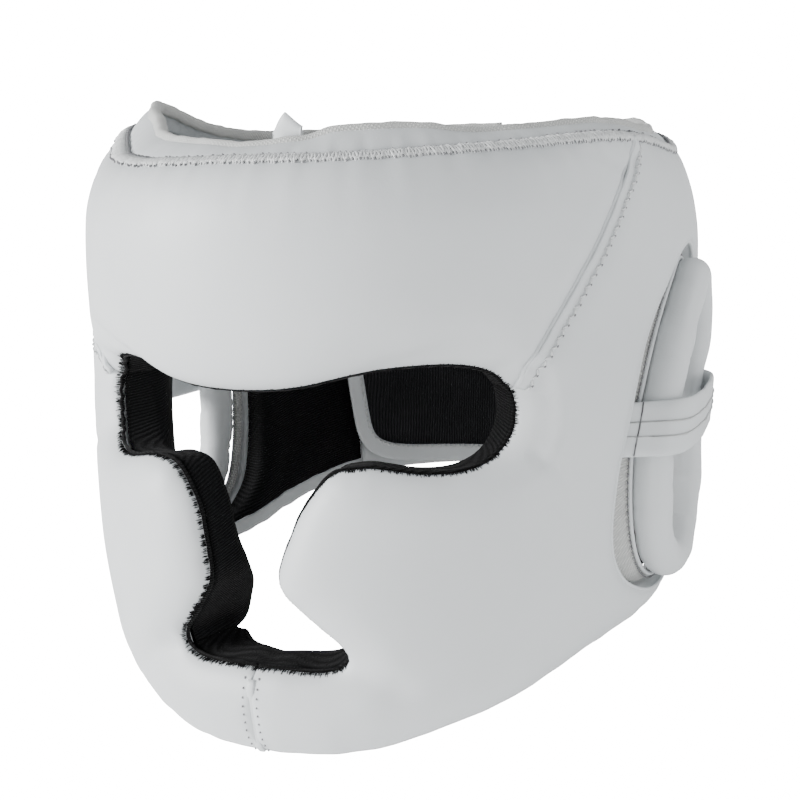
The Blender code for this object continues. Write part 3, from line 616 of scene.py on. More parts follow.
def leather(name, dark, light, rough=(0.36, 0.46), grain=1500.0, relief=0.05):
    """Coated leather: two close tones mottled slowly, with a fine pebble relief."""
    material, tree, shader = tree_of(name)
    grainy = tree.nodes.new("ShaderNodeGroup")
    grainy.node_tree = coated_grain
    grainy.inputs["Scale"].default_value = grain
    tone = two_tones(tree, dark, light)
    gloss = put(tree, "ShaderNodeMapRange")
    gloss.inputs["To Min"].default_value, gloss.inputs["To Max"].default_value = rough
    bump = put(tree, "ShaderNodeBump", Strength=relief, Distance=0.0004)
    wire(tree, (grainy.outputs["Mottle"], tone.inputs[0]), (grainy.outputs["Mottle"], gloss.inputs["Value"]),
         (grainy.outputs["Height"], bump.inputs["Height"]), (tone.outputs[2], shader.inputs["Base Color"]),
         (gloss.outputs["Result"], shader.inputs["Roughness"]),
         (bump.outputs["Normal"], shader.inputs["Normal"]))
    return material


white_leather = leather("white_leather", (0.62, 0.645, 0.655), (0.68, 0.70, 0.71), (0.42, 0.52))
EDGE_BANDS = (0.0002, 0.0006, 0.0013, 0.0024, 0.0040)
PAD_STEP, CORE_STEP = 0.0026, 0.008


def leather_pad(name, node, loops):
    """White cushion over its lining, fine on its outer side."""
    pad = cushion(name, loops, leather_depth, lambda p: parting(p) - LAYER_GAP / 2, PAD_STEP, CORE_STEP)
    settled(pad, white_leather, "white_leather", node)


leather_pad("brow_roll", "forehead_pad", [both(["brow", "diagonal", "-crown_front"])])

# Cheek, jaw and side pads: one white leather cushion each side from the chin seam round to the
# rear closure, cut round the eye, the cheek lobe, the mouth and the ear.
for tag, side in (("left", 1), ("right", -1)):
    leather_pad("cheek_and_side_" + tag, "face_pad_" + tag,
                [outline(["chin", "mouth", "eye", "diagonal", "crown_side", "rear", "-hem"], side),
                 shrink(edge("ear", side)[:-1], -SEAM_GAP / 2)])

# Corded seam from each eye corner to the crown: a folded leather strip 3.5 mm wide with its
# cord along the front edge, held down behind by a scalloped row of lock stitches.
SEAM_STRIP = 0.0036
SEAM_CORD = 0.00092
white_thread = leather("white_thread", (0.62, 0.63, 0.63), (0.74, 0.75, 0.75), (0.55, 0.65), 2200.0, 0.25)
# Dark spindles: dark stitches on the ear tapes and strap feet, and painted shade in the needle holes.
dark_thread_and_hole_shade = leather("dark_thread_and_hole_shade", (0.14, 0.14, 0.15), (0.27, 0.27, 0.28), (0.6, 0.7), 2200.0, 0.25)


def over_leather(pattern, lift=0.0):
    """Places on the visible white leather, raised by the lift."""
    return skin(pattern, leather_depth(pattern) - lift)


def facing(pattern):
    """Outward normals of the form, turned with the resting headgear."""
    return outward(pattern) @ TILT.T


def beside(line, amount):
    """Line moved sideways on the pattern, to the left of its run when the amount is positive."""
    run = np.gradient(line, axis=0)
    run /= np.linalg.norm(run, axis=1)[:, None]
    return line + np.stack([-run[:, 1], run[:, 0]], axis=1) * np.reshape(amount, (-1, 1))


def swept(name, middle, out, width, thick, power=1.0, closed=False, around=12, relief=None):
    """Rounded profile carried along a path.

    Each profile point lies width/2 times the signed power of cos across the path and thick/2
    times the signed power of sin outward; relief adds a radial amount per station and angle.
    """
    middle = np.asarray(middle, float)
    count = len(middle)
    ahead = np.roll(middle, -1, 0) - np.roll(middle, 1, 0) if closed else np.gradient(middle, axis=0)
    ahead /= np.linalg.norm(ahead, axis=1)[:, None]
    out = np.asarray(out, float) - ahead * (np.asarray(out) * ahead).sum(1)[:, None]
    out /= np.linalg.norm(out, axis=1)[:, None]
    across = np.cross(ahead, out)
    phi = np.linspace(0, 2 * math.pi, around, endpoint=False)
    c, s = np.cos(phi), np.sin(phi)
    flat = np.sign(c) * np.abs(c) ** power * 0.5
    high = np.sign(s) * np.abs(s) ** power * 0.5
    wide = np.broadcast_to(width, (count,))[:, None] * flat
    tall = np.broadcast_to(thick, (count,))[:, None] * high
    if relief is not None:
        size = np.sqrt(wide ** 2 + tall ** 2)
        grow = 1 + relief / np.maximum(size, 1e-6)
        wide, tall = wide * grow, tall * grow
    verts = middle[:, None] + across[:, None] * wide[..., None] + out[:, None] * tall[..., None]
    uv = np.stack([np.repeat(runs(middle), around), np.tile(phi * float(np.mean(width)) / 2, count)], axis=1)
    i, k = np.meshgrid(np.arange(count if closed else count - 1), np.arange(around), indexing="ij")
    j, m = (i + 1) % count, (k + 1) % around
    quads = np.stack([i * around + k, j * around + k, j * around + m, i * around + m], axis=2)
    faces = [tuple(f) for f in quads.reshape(-1, 4)]
    if not closed:
        faces.append(tuple(range(around)))
        faces.append(tuple(range(count * around - 1, (count - 1) * around - 1, -1)))
    return make_piece(name, verts.reshape(-1, 3), faces, uv)


def threads(name, starts, ends, out, radius, lift=0.0006, sink=0.0003):
    """Stitches as spindles: five-sided, thin where they enter the leather and full between."""
    stations = np.array([0.0, 0.18, 0.5, 0.82, 1.0])
    full = np.array([0.45, 1.0, 1.1, 1.0, 0.45]) * radius
    high = np.array([-sink, lift * 0.55, lift, lift * 0.55, -sink])
    ahead = ends - starts
    ahead /= np.linalg.norm(ahead, axis=1)[:, None]
    across = np.cross(ahead, out)
    across /= np.linalg.norm(across, axis=1)[:, None]
    upward = np.cross(across, ahead)
    phi = np.linspace(0, 2 * math.pi, 5, endpoint=False)
    middle = (starts[:, None] + (ends - starts)[:, None] * stations[None, :, None]
              + upward[:, None] * high[None, :, None])
    ring = across[:, None] * np.cos(phi)[None, :, None] + upward[:, None] * np.sin(phi)[None, :, None]
    verts = middle[:, :, None] + ring[:, None] * full[None, :, None, None]
    count = len(starts)
    base = np.arange(count)[:, None, None] * 25
    i, k = np.meshgrid(np.arange(4), np.arange(5), indexing="ij")
    m = (k + 1) % 5
    quads = np.stack([i * 5 + m, (i + 1) * 5 + m, (i + 1) * 5 + k, i * 5 + k], axis=2).reshape(1, -1, 4)
    faces = [tuple(f) for f in (base + quads).reshape(-1, 4)]
    caps = np.stack([np.arange(5), np.arange(24, 19, -1)])[None] + base
    faces += [tuple(f) for f in caps.reshape(-1, 5)[:, ::-1]]
    return make_piece(name, verts.reshape(-1, 3), faces)


def sew(name, starts, ends, out, size, thread=white_thread, slot="white_leather"):
    """Row of stitches; its size is the radius, the lift and the sink."""
    settled(threads(name, starts, ends, out, *size), thread, slot)


def between(rows, out, size, name, share, thread=white_thread, slot="white_leather"):
    """Stitches along a row of places, each keeping a share of its step clear at both ends."""
    step = rows[1:] - rows[:-1]
    sew(name, rows[:-1] + step * share, rows[1:] - step * share, out, size, thread, slot)


SEAM_STEP, SEAM_STITCH = 0.0012, (0.00031, 0.00045, 0.0004)
SEAM_HOLE, CHIN_HOLE = (0.00042, 0.0001, 0.0002), (0.00026, 0.0001, 0.0002)
for tag, side in (("left", 1), ("right", -1)):
    seam = edge("diagonal", 1, SEAM_STEP)[1:-1]
    strip_middle = beside(seam, -SEAM_STRIP * 0.42) * (side, 1)
    strip = swept("seam_strip_" + tag, over_leather(strip_middle, 0.00040), facing(strip_middle),
                  SEAM_STRIP, 0.0011, 0.45, around=14)
    settled(strip, white_leather, "white_leather", "seam_piping_" + tag)
    cord_line = beside(seam, 0.0001) * (side, 1)
    ripple = 0.00012 * waver(np.arange(len(seam)) * SEAM_STEP, 0.006, 1.0 + side)
    cord = swept("seam_cord_" + tag, over_leather(cord_line, 0.0010), facing(cord_line),
                 2 * SEAM_CORD, 2 * SEAM_CORD + ripple, around=10)
    settled(cord, white_leather, "white_leather")
    count = int(len(seam) * SEAM_STEP / 0.0019)
    line = read_at(seam, np.arange(len(seam)), np.linspace(0, len(seam) - 1.001, count))
    swing = np.where(np.arange(count) % 2 == 0, -SEAM_STRIP * 0.74, -SEAM_STRIP * 1.04)
    zig = beside(line, swing) * (side, 1)
    row = over_leather(zig, 0.0004)
    sew("seam_stitches_" + tag, row[:-1], row[1:], facing(zig)[:-1], SEAM_STITCH)
    # Needle holes behind the zigzag: short dark spindles of painted shade.
    pricks = zig[1::2]
    tips = over_leather(pricks + (0.0004 * side, -0.0003), 0.00015)
    sew("seam_needle_holes_" + tag, over_leather(pricks, 0.00022), tips, facing(pricks), SEAM_HOLE,
        dark_thread_and_hole_shade)

# Middle seam of the chin: the two cheek pads are closed edge to edge under a narrow raised fold,
# with small needle holes on each side of it, drawn as short dark spindles of painted shade.
fold_line = edge("chin", 1, SEAM_STEP)[2:-2]
fold = swept("chin_fold", over_leather(fold_line, 0.0002), facing(fold_line), 0.0026, 0.0010, 0.7)
settled(fold, white_leather, "white_leather")
for tag, way in (("left", 1), ("right", -1)):
    pricks = spaced(fold_line, 0.0030) + (0.0024 * way, 0)
    tips = over_leather(pricks + (0, 0.0007), 0.00012)
    sew("chin_needle_holes_" + tag, over_leather(pricks, 0.00012), tips, facing(pricks), CHIN_HOLE, dark_thread_and_hole_shade)

# Lining pads: foam cushions covered with a fine black ribbed knit, one across the forehead, one
# along each side and one in the chin, sewn to the white pads along every free edge.
LINING_FRONT, LINING_SIDE, LINING_REAR, EDGE_CUSHION = 0.0280, 0.0245, 0.0200, 0.0100
JAW_LOBE, CHEEK_THIN = 0.0140, 0.0010
EDGES.update({
    "temple": [(43.9, 0.600), (49.0, 0.680), (54.0, 0.780), (58.0, 0.900)],
    "lining_front": [(0.0, 0.897), (29.0, 0.897), (58.0, 0.900)],
    "lining_side": [(58.0, 0.900), (84.0, 0.900), (130.0, 0.895), (178.5, 0.895)],
    "lining_rear": [(178.5, 0.895), (178.5, 0.345)],
    "jaw": [(15.2, 0.245), (20.5, 0.212), (26.0, 0.175), (31.0, 0.147)]})
RIB_PITCH, LINING_STEP = 0.00092, 0.0032


def lining_depth(places, loops):
    """Inner face of a lining pad: full over the foam, rounded towards its edges, slightly uneven."""
    around = np.abs(turn_of(places))
    full = np.interp(around, (0, 50, 75, 120, 180),
                     (LINING_FRONT, LINING_FRONT, LINING_SIDE, LINING_REAR, LINING_REAR))
    share = places[:, 1] / HEIGHT
    full = full + JAW_LOBE * np.exp(-((share - 0.285) / 0.08) ** 2 - ((around - 17) / 13) ** 2)
    full = full - CHEEK_THIN * np.exp(-((share - 0.42) / 0.07) ** 2 - ((around - 8) / 12) ** 2)
    gap = np.min([nearest(places, ringed(loop))[0] for loop in loops], axis=0)
    near = 1 - np.minimum(gap / 0.012, 1)
    round_over = 0.4 * (full - EDGE_CUSHION) * (1 - np.sqrt(1 - near ** 2))
    uneven = 0.0005 * (1 + waver(places[:, 0] + places[:, 1], 0.045, 1.4))
    return full - round_over - uneven * ramp(gap, 0, 0.01)


WAVE_SCALE = 0.3142  # a wave texture of this scale over the pitch repeats once a pitch


def knit(name, dark, light, pitch):
    """Ribbed knit: level ribs at the pitch, broken up by noise, with a soft dusty sheen; its colour follows the
    ribs, lighter on the crests and darker in the grooves, as painted shade.
    """
    material, tree, shader = tree_of(name)
    place = tree.nodes.new("ShaderNodeTexCoord")
    wobble = put(tree, "ShaderNodeTexNoise", Scale=60.0, Detail=2.0)
    shift = put(tree, "ShaderNodeVectorMath", operation="MULTIPLY_ADD")
    shift.inputs[1].default_value = (0.0015, 0.0015, 0.0015)
    ribs = put(tree, "ShaderNodeTexWave", wave_type="BANDS", bands_direction="Z", wave_profile="SIN",
               Scale=WAVE_SCALE / pitch, Distortion=0.6, Detail=1.0)
    ribs.inputs["Detail Scale"].default_value = 2.0
    loops_of_yarn = put(tree, "ShaderNodeTexVoronoi", Scale=1400.0)
    cloudy = put(tree, "ShaderNodeTexNoise", Scale=45.0, Detail=4.0, Roughness=0.7)
    high = put(tree, "ShaderNodeMath", operation="MULTIPLY_ADD")
    high.inputs[1].default_value = 0.6
    # Colour: the ribs times a cloudy noise, so painted rib shade with an uneven tone.
    shade = put(tree, "ShaderNodeMath", operation="MULTIPLY")
    tone = two_tones(tree, dark, light)
    bump = put(tree, "ShaderNodeBump", Strength=0.8, Distance=0.0004)
    wire(tree, (place.outputs["Object"], wobble.inputs["Vector"]), (wobble.outputs["Color"], shift.inputs[0]),
         (place.outputs["Object"], shift.inputs[2]), (shift.outputs[0], ribs.inputs["Vector"]),
         (place.outputs["Object"], loops_of_yarn.inputs["Vector"]),
         (place.outputs["Object"], cloudy.inputs["Vector"]),
         (loops_of_yarn.outputs["Distance"], high.inputs[0]),
         (ribs.outputs["Fac"], high.inputs[2]), (ribs.outputs["Fac"], shade.inputs[0]),
         (cloudy.outputs["Fac"], shade.inputs[1]), (shade.outputs[0], tone.inputs[0]),
         (tone.outputs[2], shader.inputs["Base Color"]), (high.outputs[0], bump.inputs["Height"]),
         (bump.outputs["Normal"], shader.inputs["Normal"]))
    tune(shader, Roughness=0.88, Specular_IOR_Level=0.12, Sheen_Weight=0.03, Sheen_Roughness=0.5)
    return material


black_knit = knit("black_knit", (0.0012, 0.0012, 0.0014), (0.017, 0.017, 0.018), RIB_PITCH)


def lining(name, node, loops):
    """Closed lining pad, fine on its inner side where the hollow shows it."""
    pad = cushion(name, loops, lambda p: parting(p) + LAYER_GAP / 2, lambda p: lining_depth(p, loops),
                  CORE_STEP, LINING_STEP, 5, True)
    settled(pad, black_knit, "black_knit", node)


def parted(name, where, side=1):
    """Named edge and the index of its point nearest to one end of the jaw seam."""
    line = edge(name, side)
    return line, int(np.argmin(np.linalg.norm(line - edge("jaw", side)[where], axis=1)))


lining("forehead_lining_pad", "forehead_lining", [both(["brow", "temple", "-lining_front"])])
for tag, side in (("left", 1), ("right", -1)):
    mouth, start = parted("mouth", 0, side)
    hem, stop = parted("hem", -1, side)
    around_side = np.vstack([mouth[start:-1], edge("eye", side)[:-1], edge("temple", side)[:-1],
                             edge("lining_side", side)[:-1], edge("lining_rear", side)[:-1],
                             hem[::-1][:len(hem) - stop], edge("jaw", side)[1:-1][::-1]])
    lining("side_lining_pad_" + tag, "side_lining_" + tag,
           [shrink(around_side, SEAM_GAP / 2), shrink(edge("ear", side)[:-1], -SEAM_GAP / 2)])
    low_edge = edge("hem", 1, 0.002)
    turn = turn_of(low_edge)
    low_edge = beside(low_edge, 0.0030)[(turn > 34) & (turn < 147)] * (side, 1)
    deep = lining_depth(low_edge, [shrink(around_side, SEAM_GAP / 2)]) + 0.0005
    ripple = waver(np.arange(len(low_edge)) * 0.002, 0.019, 0.4 + side)
    band = swept("hem_band_" + tag, skin(low_edge, deep + 0.0002 * ripple), -facing(low_edge),
                 0.0056 * (1 + 0.10 * ripple), 0.0015, 0.45, around=14)
    settled(band, white_leather, "white_leather")
mouth, start = parted("mouth", 0)
hem, stop = parted("hem", -1)
half = np.vstack([hem[:stop + 1], edge("jaw")[1:-1][::-1], mouth[:start + 1][::-1]])
around_chin = np.vstack([half, half[::-1][1:-1] * (-1, 1)])
lining("chin_lining_pad", "chin_lining", [shrink(around_chin, SEAM_GAP / 2)])

# Black trim where knit meets leather round the face opening: a thin rolled edge, just proud of
# the white, whose frayed yarn ends lie over the leather.
TRIM, TRIM_STEP, YARN_PITCH, YARN = 0.0013, 0.0014, 0.00030, (0.00011, 0.0002, 0.0)
for tag, side in (("left", 1), ("right", -1)):
    lower = np.vstack([edge("mouth", 1, TRIM_STEP)[:-1], edge("eye", 1, TRIM_STEP)]) * (side, 1)
    upper = edge("brow", 1, TRIM_STEP) * (side, 1)
    for part, line, way in (("lower", lower, 1), ("brow", upper, -1)):
        free = beside(line, 0.0002 * side * way)
        deep = np.maximum(leather_depth(line) + 0.0006, 0.0088)
        size = TRIM * (1 + 0.18 * waver(np.arange(len(line)) * TRIM_STEP, 0.008, 2.0 + side + way))
        trim = swept("opening_trim_%s_%s" % (part, tag), skin(free, deep), facing(line), size, size, around=8)
        settled(trim, black_knit, "black_knit")
        dice = np.random.default_rng(11 + side + 3 * way)
        run = runs(line)
        count = int(run[-1] / YARN_PITCH)
        at = np.sort(dice.uniform(0, run[-1], count))
        root = read_at(line, run, at)
        ahead = np.gradient(line, axis=0)
        ahead = read_at(ahead / np.linalg.norm(ahead, axis=1)[:, None], run, at)
        inner = np.stack([-ahead[:, 1], ahead[:, 0]], axis=1) * -side * way
        long = 0.00015 + 0.0006 * dice.random(count) ** 2.0
        lean = dice.uniform(-0.5, 0.5, count)
        tip = root + inner * long[:, None] + ahead * (long * lean)[:, None]
        sew("trim_yarn_%s_%s" % (part, tag), skin(root, np.maximum(leather_depth(root), 0.0080)),
            over_leather(tip, 0.0001), facing(root), YARN, black_knit, "black_knit")

# Crown collar: one layer of white leather gathered on to the crown seam, standing up round the
# open crown and leaning in, its rim bound with a grey woven tape.
RIM = np.array([
    (-178.5, 0.942), (-120, 0.944), (-95, 0.950), (-80, 0.958), (-70, 0.964), (-62, 0.966),
    (-55, 0.967), (-48, 0.966), (-40, 0.963), (-26, 0.960), (-13, 0.956), (-2, 0.950),
    (10, 0.955), (18, 0.967), (29, 0.967), (45, 0.954), (58, 0.950), (70, 0.949), (84, 0.948),
    (98, 0.951), (112, 0.951), (130, 0.947), (150, 0.941), (178.5, 0.939)], float)
COLLAR_FOOT, COLLAR_TOP, COLLAR_THICK, COLLAR_EASE = 0.0128, 0.0210, 0.0034, 0.0110


def rounded(count, share):
    """Thickness factor across a sheet: 1 inside, a quarter round over the share at both edges."""
    x = np.linspace(0, 1, count)
    x = 0.5 - 0.5 * np.cos(math.pi * x)
    near = np.clip(np.minimum(x, 1 - x) / share, 0, 1)
    return x, np.sqrt(1 - (1 - near) ** 2)


def sheet_of(name, grid, thick, edge_factor, closed=False):
    """Thin closed sheet on a grid of points: each point goes half the thickness out and in.

    The grid runs along the first index and across the second; the factors thin its edges to a
    line, where the two faces share their points.
    """
    grid = np.asarray(grid, float)
    count, across = grid.shape[:2]
    ahead = np.roll(grid, -1, 0) - np.roll(grid, 1, 0) if closed else np.gradient(grid, axis=0)
    side = np.gradient(grid, axis=1)
    normal = np.cross(ahead, side)
    normal /= np.linalg.norm(normal, axis=2)[..., None]
    factor = np.broadcast_to(edge_factor, (count, across))
    half = (normal * factor[..., None]) * thick / 2
    verts = np.concatenate([(grid + half).reshape(-1, 3), (grid - half).reshape(-1, 3)])
    top = np.arange(count * across).reshape(count, across)
    low = top + count * across
    low = np.where(factor < 1e-6, top, low)
    i, k = np.meshgrid(np.arange(count if closed else count - 1), np.arange(across - 1), indexing="ij")
    j = (i + 1) % count

    def quads(index, forward):
        corner = [index[i, k], index[j, k], index[j, k + 1], index[i, k + 1]]
        return np.stack(corner if forward else corner[::-1], axis=2).reshape(-1, 4)

    faces = [tuple(f) for f in np.vstack([quads(top, True), quads(low, False)])]
    if not closed:
        for row, forward in ((0, False), (count - 1, True)):
            loop = np.concatenate([top[row], low[row][::-1]])
            loop = loop[np.sort(np.unique(loop, return_index=True)[1])]
            faces.append(tuple(loop if forward else loop[::-1]))
    faces = [tuple(dict.fromkeys(f)) for f in faces]
    faces = [f for f in faces if len(f) > 2]
    run, width = runs(grid[:, across // 2]), runs(grid[count // 2])
    uv = np.stack(np.broadcast_arrays(run[:, None], width[None]), axis=2).reshape(-1, 2)
    return make_piece(name, verts, faces, np.vstack([uv, uv]))


def weave(name, dark, light, pitch, slope=0.0):
    """Woven tape: warp and weft bands on the piece's own map, crossing at the yarn pitch; the crossings are
    painted lighter than the gaps, as painted shade, over a soiled noise.
    """
    material, tree, shader = tree_of(name)
    place = put(tree, "ShaderNodeUVMap", uv_map="pattern")
    turned = put(tree, "ShaderNodeMapping")
    turned.inputs["Rotation"].default_value = (0, 0, slope)
    along, over = [put(tree, "ShaderNodeTexWave", bands_direction=way, Scale=WAVE_SCALE / pitch,
                       Distortion=0.4) for way in ("X", "Y")]
    soil = put(tree, "ShaderNodeTexNoise", Scale=160.0, Detail=4.0)
    cross = put(tree, "ShaderNodeMath", operation="MULTIPLY")
    # Colour: soil noise plus the yarn crossings, which are lighter than the gaps as painted shade.
    soil_and_weave_shade = put(tree, "ShaderNodeMath", operation="MULTIPLY_ADD")
    soil_and_weave_shade.inputs[1].default_value = 0.5
    tone = two_tones(tree, dark, light)
    bump = put(tree, "ShaderNodeBump", Strength=0.7, Distance=0.0003)
    wire(tree, (place.outputs["UV"], turned.inputs["Vector"]),
         *((turned.outputs[0], node.inputs["Vector"]) for node in (along, over, soil)),
         (along.outputs["Fac"], cross.inputs[0]), (over.outputs["Fac"], cross.inputs[1]),
         (soil.outputs["Fac"], soil_and_weave_shade.inputs[0]), (cross.outputs[0], soil_and_weave_shade.inputs[2]),
         (soil_and_weave_shade.outputs[0], tone.inputs[0]), (tone.outputs[2], shader.inputs["Base Color"]),
         (cross.outputs[0], bump.inputs["Height"]), (bump.outputs["Normal"], shader.inputs["Normal"]))
    tune(shader, Roughness=0.85, Specular_IOR_Level=0.3, Sheen_Weight=0.15)
    return material


grey_tape = weave("grey_tape", (0.40, 0.41, 0.40), (0.66, 0.66, 0.64), 0.0009, slope=0.6)
crown_seam = np.array(EDGES["crown_front"] + EDGES["crown_side"][1:], float)
around = np.linspace(-178.5, 178.5, 420)
foot = np.interp(np.abs(around), crown_seam[:, 0], crown_seam[:, 1]) + 0.0020
rim = smooth_table(RIM[:, 0], RIM[:, 1], around)
run = np.radians(around) * PATTERN_RADIUS
share, factor = rounded(13, 0.16)
top = rim - 0.0060
height = foot[:, None] + (top - foot)[:, None] * (share + 0.5 * share * (1 - share))[None]
gather = (0.0005 * waver(run, 0.0085, 0.6)[:, None] * (1 - share)[None] ** 1.5
          + 0.0007 * waver(run, 0.031, 2.3)[:, None] * share[None])
ease = crown_ease(np.stack([run, rim], axis=1))
foot_depth = COLLAR_FOOT * (1 - CROWN_EASE * ease)
top_depth = COLLAR_TOP - COLLAR_EASE * ease
deep = ((foot_depth - 0.0006)[:, None] + (top_depth - foot_depth)[:, None] * share[None]
        + COLLAR_THICK / 2 + gather)
spots = np.stack(np.broadcast_arrays(run[:, None], height * HEIGHT), axis=2).reshape(-1, 2)
collar_grid = skin(spots, deep.ravel()).reshape(len(around), 13, 3)
collar = sheet_of("collar", collar_grid, 0.0022, factor)
settled(collar, white_leather, "white_leather", "crown_collar")
lip = np.stack([run, top * HEIGHT + 0.0004], axis=1)
tape_middle = skin(lip, deep[:, -1] + 0.0001)
wrinkle = 1 + 0.10 * waver(run, 0.014, 1.1)
swell = 0.0018 * np.exp(-((around + 50) / 16) ** 2) + 0.0012 * np.exp(-((around - 104) / 26) ** 2)
tape = swept("rim_tape", tape_middle, facing(lip), (0.0044 + swell) * wrinkle, 0.0036 + 0.4 * swell,
             0.62, around=16)
settled(tape, grey_tape, "grey_tape", "crown_binding")
seam_at = spaced(np.stack([run, top * HEIGHT - 0.0002], axis=1), 0.0017)
stitch = skin(seam_at, np.interp(seam_at[:, 0], run, deep[:, -1]) - 0.0018)
between(stitch, facing(seam_at)[:-1], (0.00022, 0.0002, 0.0002), "rim_stitches", 0.12, slot="grey_tape")

# Crown seam: two crossing rows of zigzag lock stitch in white thread over the join of pads and
# collar; the needle holes between them are short dark spindles of painted shade.
seam_height = np.interp(np.abs(around), crown_seam[:, 0], crown_seam[:, 1])
seam_path = on_pattern(np.stack([around, seam_height], axis=1))
ZIGZAG_PITCH, ZIGZAG_WIDTH = 0.0019, 0.0036
ZIGZAG_STITCH, ZIGZAG_HOLE = (0.00040, 0.0008, 0.0004), (0.00052, 0.00012, 0.0002)


def crown_surface(pattern, lift):
    """Places on the join: on the pad below the seam, on the collar's foot above it."""
    middle = np.interp(pattern[:, 0], seam_path[:, 0], seam_path[:, 1])
    on_pad = leather_depth(pattern)
    base = COLLAR_FOOT * (1 - CROWN_EASE * crown_ease(pattern)) - 0.0006
    on_collar = np.minimum(base + (pattern[:, 1] - middle) * 0.6, base + 0.0003)
    return skin(pattern, np.where(pattern[:, 1] > middle, on_collar, on_pad) - lift)


dice = np.random.default_rng(5)
for row, phase in enumerate((0, 1)):
    line = spaced(seam_path, ZIGZAG_PITCH / 2 * 1.13)
    swing = np.where((np.arange(len(line)) + phase) % 2 == 0, 0.5, -0.5) * ZIGZAG_WIDTH
    line = line + np.stack([dice.uniform(-0.0002, 0.0002, len(line)),
                            swing + dice.uniform(-0.0003, 0.0003, len(line)) - 0.0004], axis=1)
    at = crown_surface(line, 0.0003 + 0.0002 * row)
    sew("crown_zigzag_%d" % (row + 1), at[:-1], at[1:], facing(line)[:-1], ZIGZAG_STITCH)
    pricks = line[::2]
    sew("crown_needle_holes_%d" % (row + 1), crown_surface(pricks, 0.00012),
        crown_surface(pricks + (0.0005, 0.0002), 0.00012), facing(pricks), ZIGZAG_HOLE, dark_thread_and_hole_shade)

# Crown ribbon: a soft webbing strip sewn inside the collar at its far peak, sagging across the
# open crown to the near rear.
RIBBON_TUCK = (COLLAR_TOP - 0.0006, COLLAR_TOP - 0.0074)
RIBBON_SAG, RIBBON_WIDTH, RIBBON_THICK = 0.014, 0.0156, 0.0016
ribbon_start = skin(on_pattern([(-51, 0.9466)]), RIBBON_TUCK[0])[0]
ribbon_end = skin(on_pattern([(131, 0.9417)]), RIBBON_TUCK[1])[0]
share_along = np.linspace(0, 1, 60)
ribbon_line = ribbon_start + (ribbon_end - ribbon_start) * share_along[:, None]
down = TILT @ np.array([0, 0, -1.0])
ribbon_line = ribbon_line + down * (RIBBON_SAG * 4 * share_along * (1 - share_along))[:, None]
across_x, factor = rounded(11, 0.12)
chord = ribbon_end - ribbon_start
level = np.cross(chord, down)
level /= np.linalg.norm(level)
cup = 0.0012 * (1 - (2 * across_x - 1) ** 2)
uneven = 1 + 0.3 * waver(share_along * 0.1, 0.03, 0.4)[:, None]
ribbon_grid = (ribbon_line[:, None] + level * ((across_x - 0.5) * RIBBON_WIDTH)[None, :, None]
               + down * (cup[None] * uneven)[..., None])
ribbon = sheet_of("crown_ribbon", ribbon_grid, RIBBON_THICK, factor)
grey_ribbon = weave("crown_webbing", (0.30, 0.30, 0.29), (0.52, 0.52, 0.50), 0.0011)
settled(ribbon, grey_ribbon, "black_ribbon", "crown_strap")

# Folded tab: a scrap of the collar leather doubled over and caught under the rim tape in front.
tab_foot = spaced(on_pattern([(2.4, 0.950), (9.4, 0.962)]), 0.0011)
tab_base = skin(tab_foot, COLLAR_TOP + 0.0056)
rise = np.array([0.0, 0.35, 0.7, 0.9, 1.0])
along_tab = np.linspace(0, 1, len(tab_base))
peak = np.interp(along_tab, (0, 0.22, 0.45, 1), (0.0045, 0.0082, 0.0105, 0.0035))
curl = 0.0016 * np.sin(rise * 3.0)[None] * np.linspace(-1, 1, len(tab_base))[:, None]
tab_grid = (tab_base[:, None] - down * (peak[:, None] * rise[None])[..., None]
            + facing(tab_foot)[:, None] * curl[..., None])[::-1]
tab = sheet_of("crown_fold_tab", tab_grid, 0.0024, np.array([1, 1, 0.95, 0.6, 0.0]))
tab_finish = tab.modifiers.new("soften", "SUBSURF")
tab_finish.levels = tab_finish.render_levels = 2
settled(tab, white_leather, "white_leather", "crown_tab")

# Ear rings: a stuffed leather roll round each ear hole, pulled into small wrinkles on its inner
# side, sewn to a grey tape that closes the gap to the pad, with a white bead between them.
RING_RADIUS, RING_DEPTH, RING_STEP = 0.0066, 0.0005, 0.0016
TAPE_OUTER, TAPE_INNER, TAPE_EDGE, TAPE_CLEAR = 0.0062, 0.0050, 0.0012, 0.0058
RING_MIDDLE = (0.1740, 0.1190)
RING_WAIST, BEAD, EAR_STITCH = 0.0022, 0.0014, (0.00026, 0.0004, 0.0003)


def ring_depth(line):
    """Depth of the roll's middle: its rear side is drawn in under the strap, as a bell curve."""
    rear = np.clip((np.abs(line[:, 0]) - RING_MIDDLE[0]) / 0.012, 0, 1)
    return RING_DEPTH + RING_WAIST * rear * np.exp(-((line[:, 1] / HEIGHT - 0.53) / 0.06) ** 2)


def ring_at(side, inset, step=RING_STEP):
    """Ring line moved inward, evened out, running the same way round on both sides."""
    ring = shrink(edge("ring", 1, step)[:-1], inset)
    ring = spaced(ringed(ring), step)[:-1] * (side, 1)
    return ring if side > 0 else ring[::-1]


def hole_along(line, inset, side):
    """Ear hole outline met by rays from the ring's middle through each place of a line."""
    hole = shrink(edge("ear", 1, 0.001)[:-1], inset)
    ray, bearing = [np.arctan2(*(part - RING_MIDDLE).T[::-1]) for part in (hole, line * (side, 1))]
    order = np.argsort(ray)
    return np.stack([np.interp(bearing, ray[order], hole[order, k], period=2 * math.pi)
                     for k in (0, 1)], axis=1) * (side, 1)


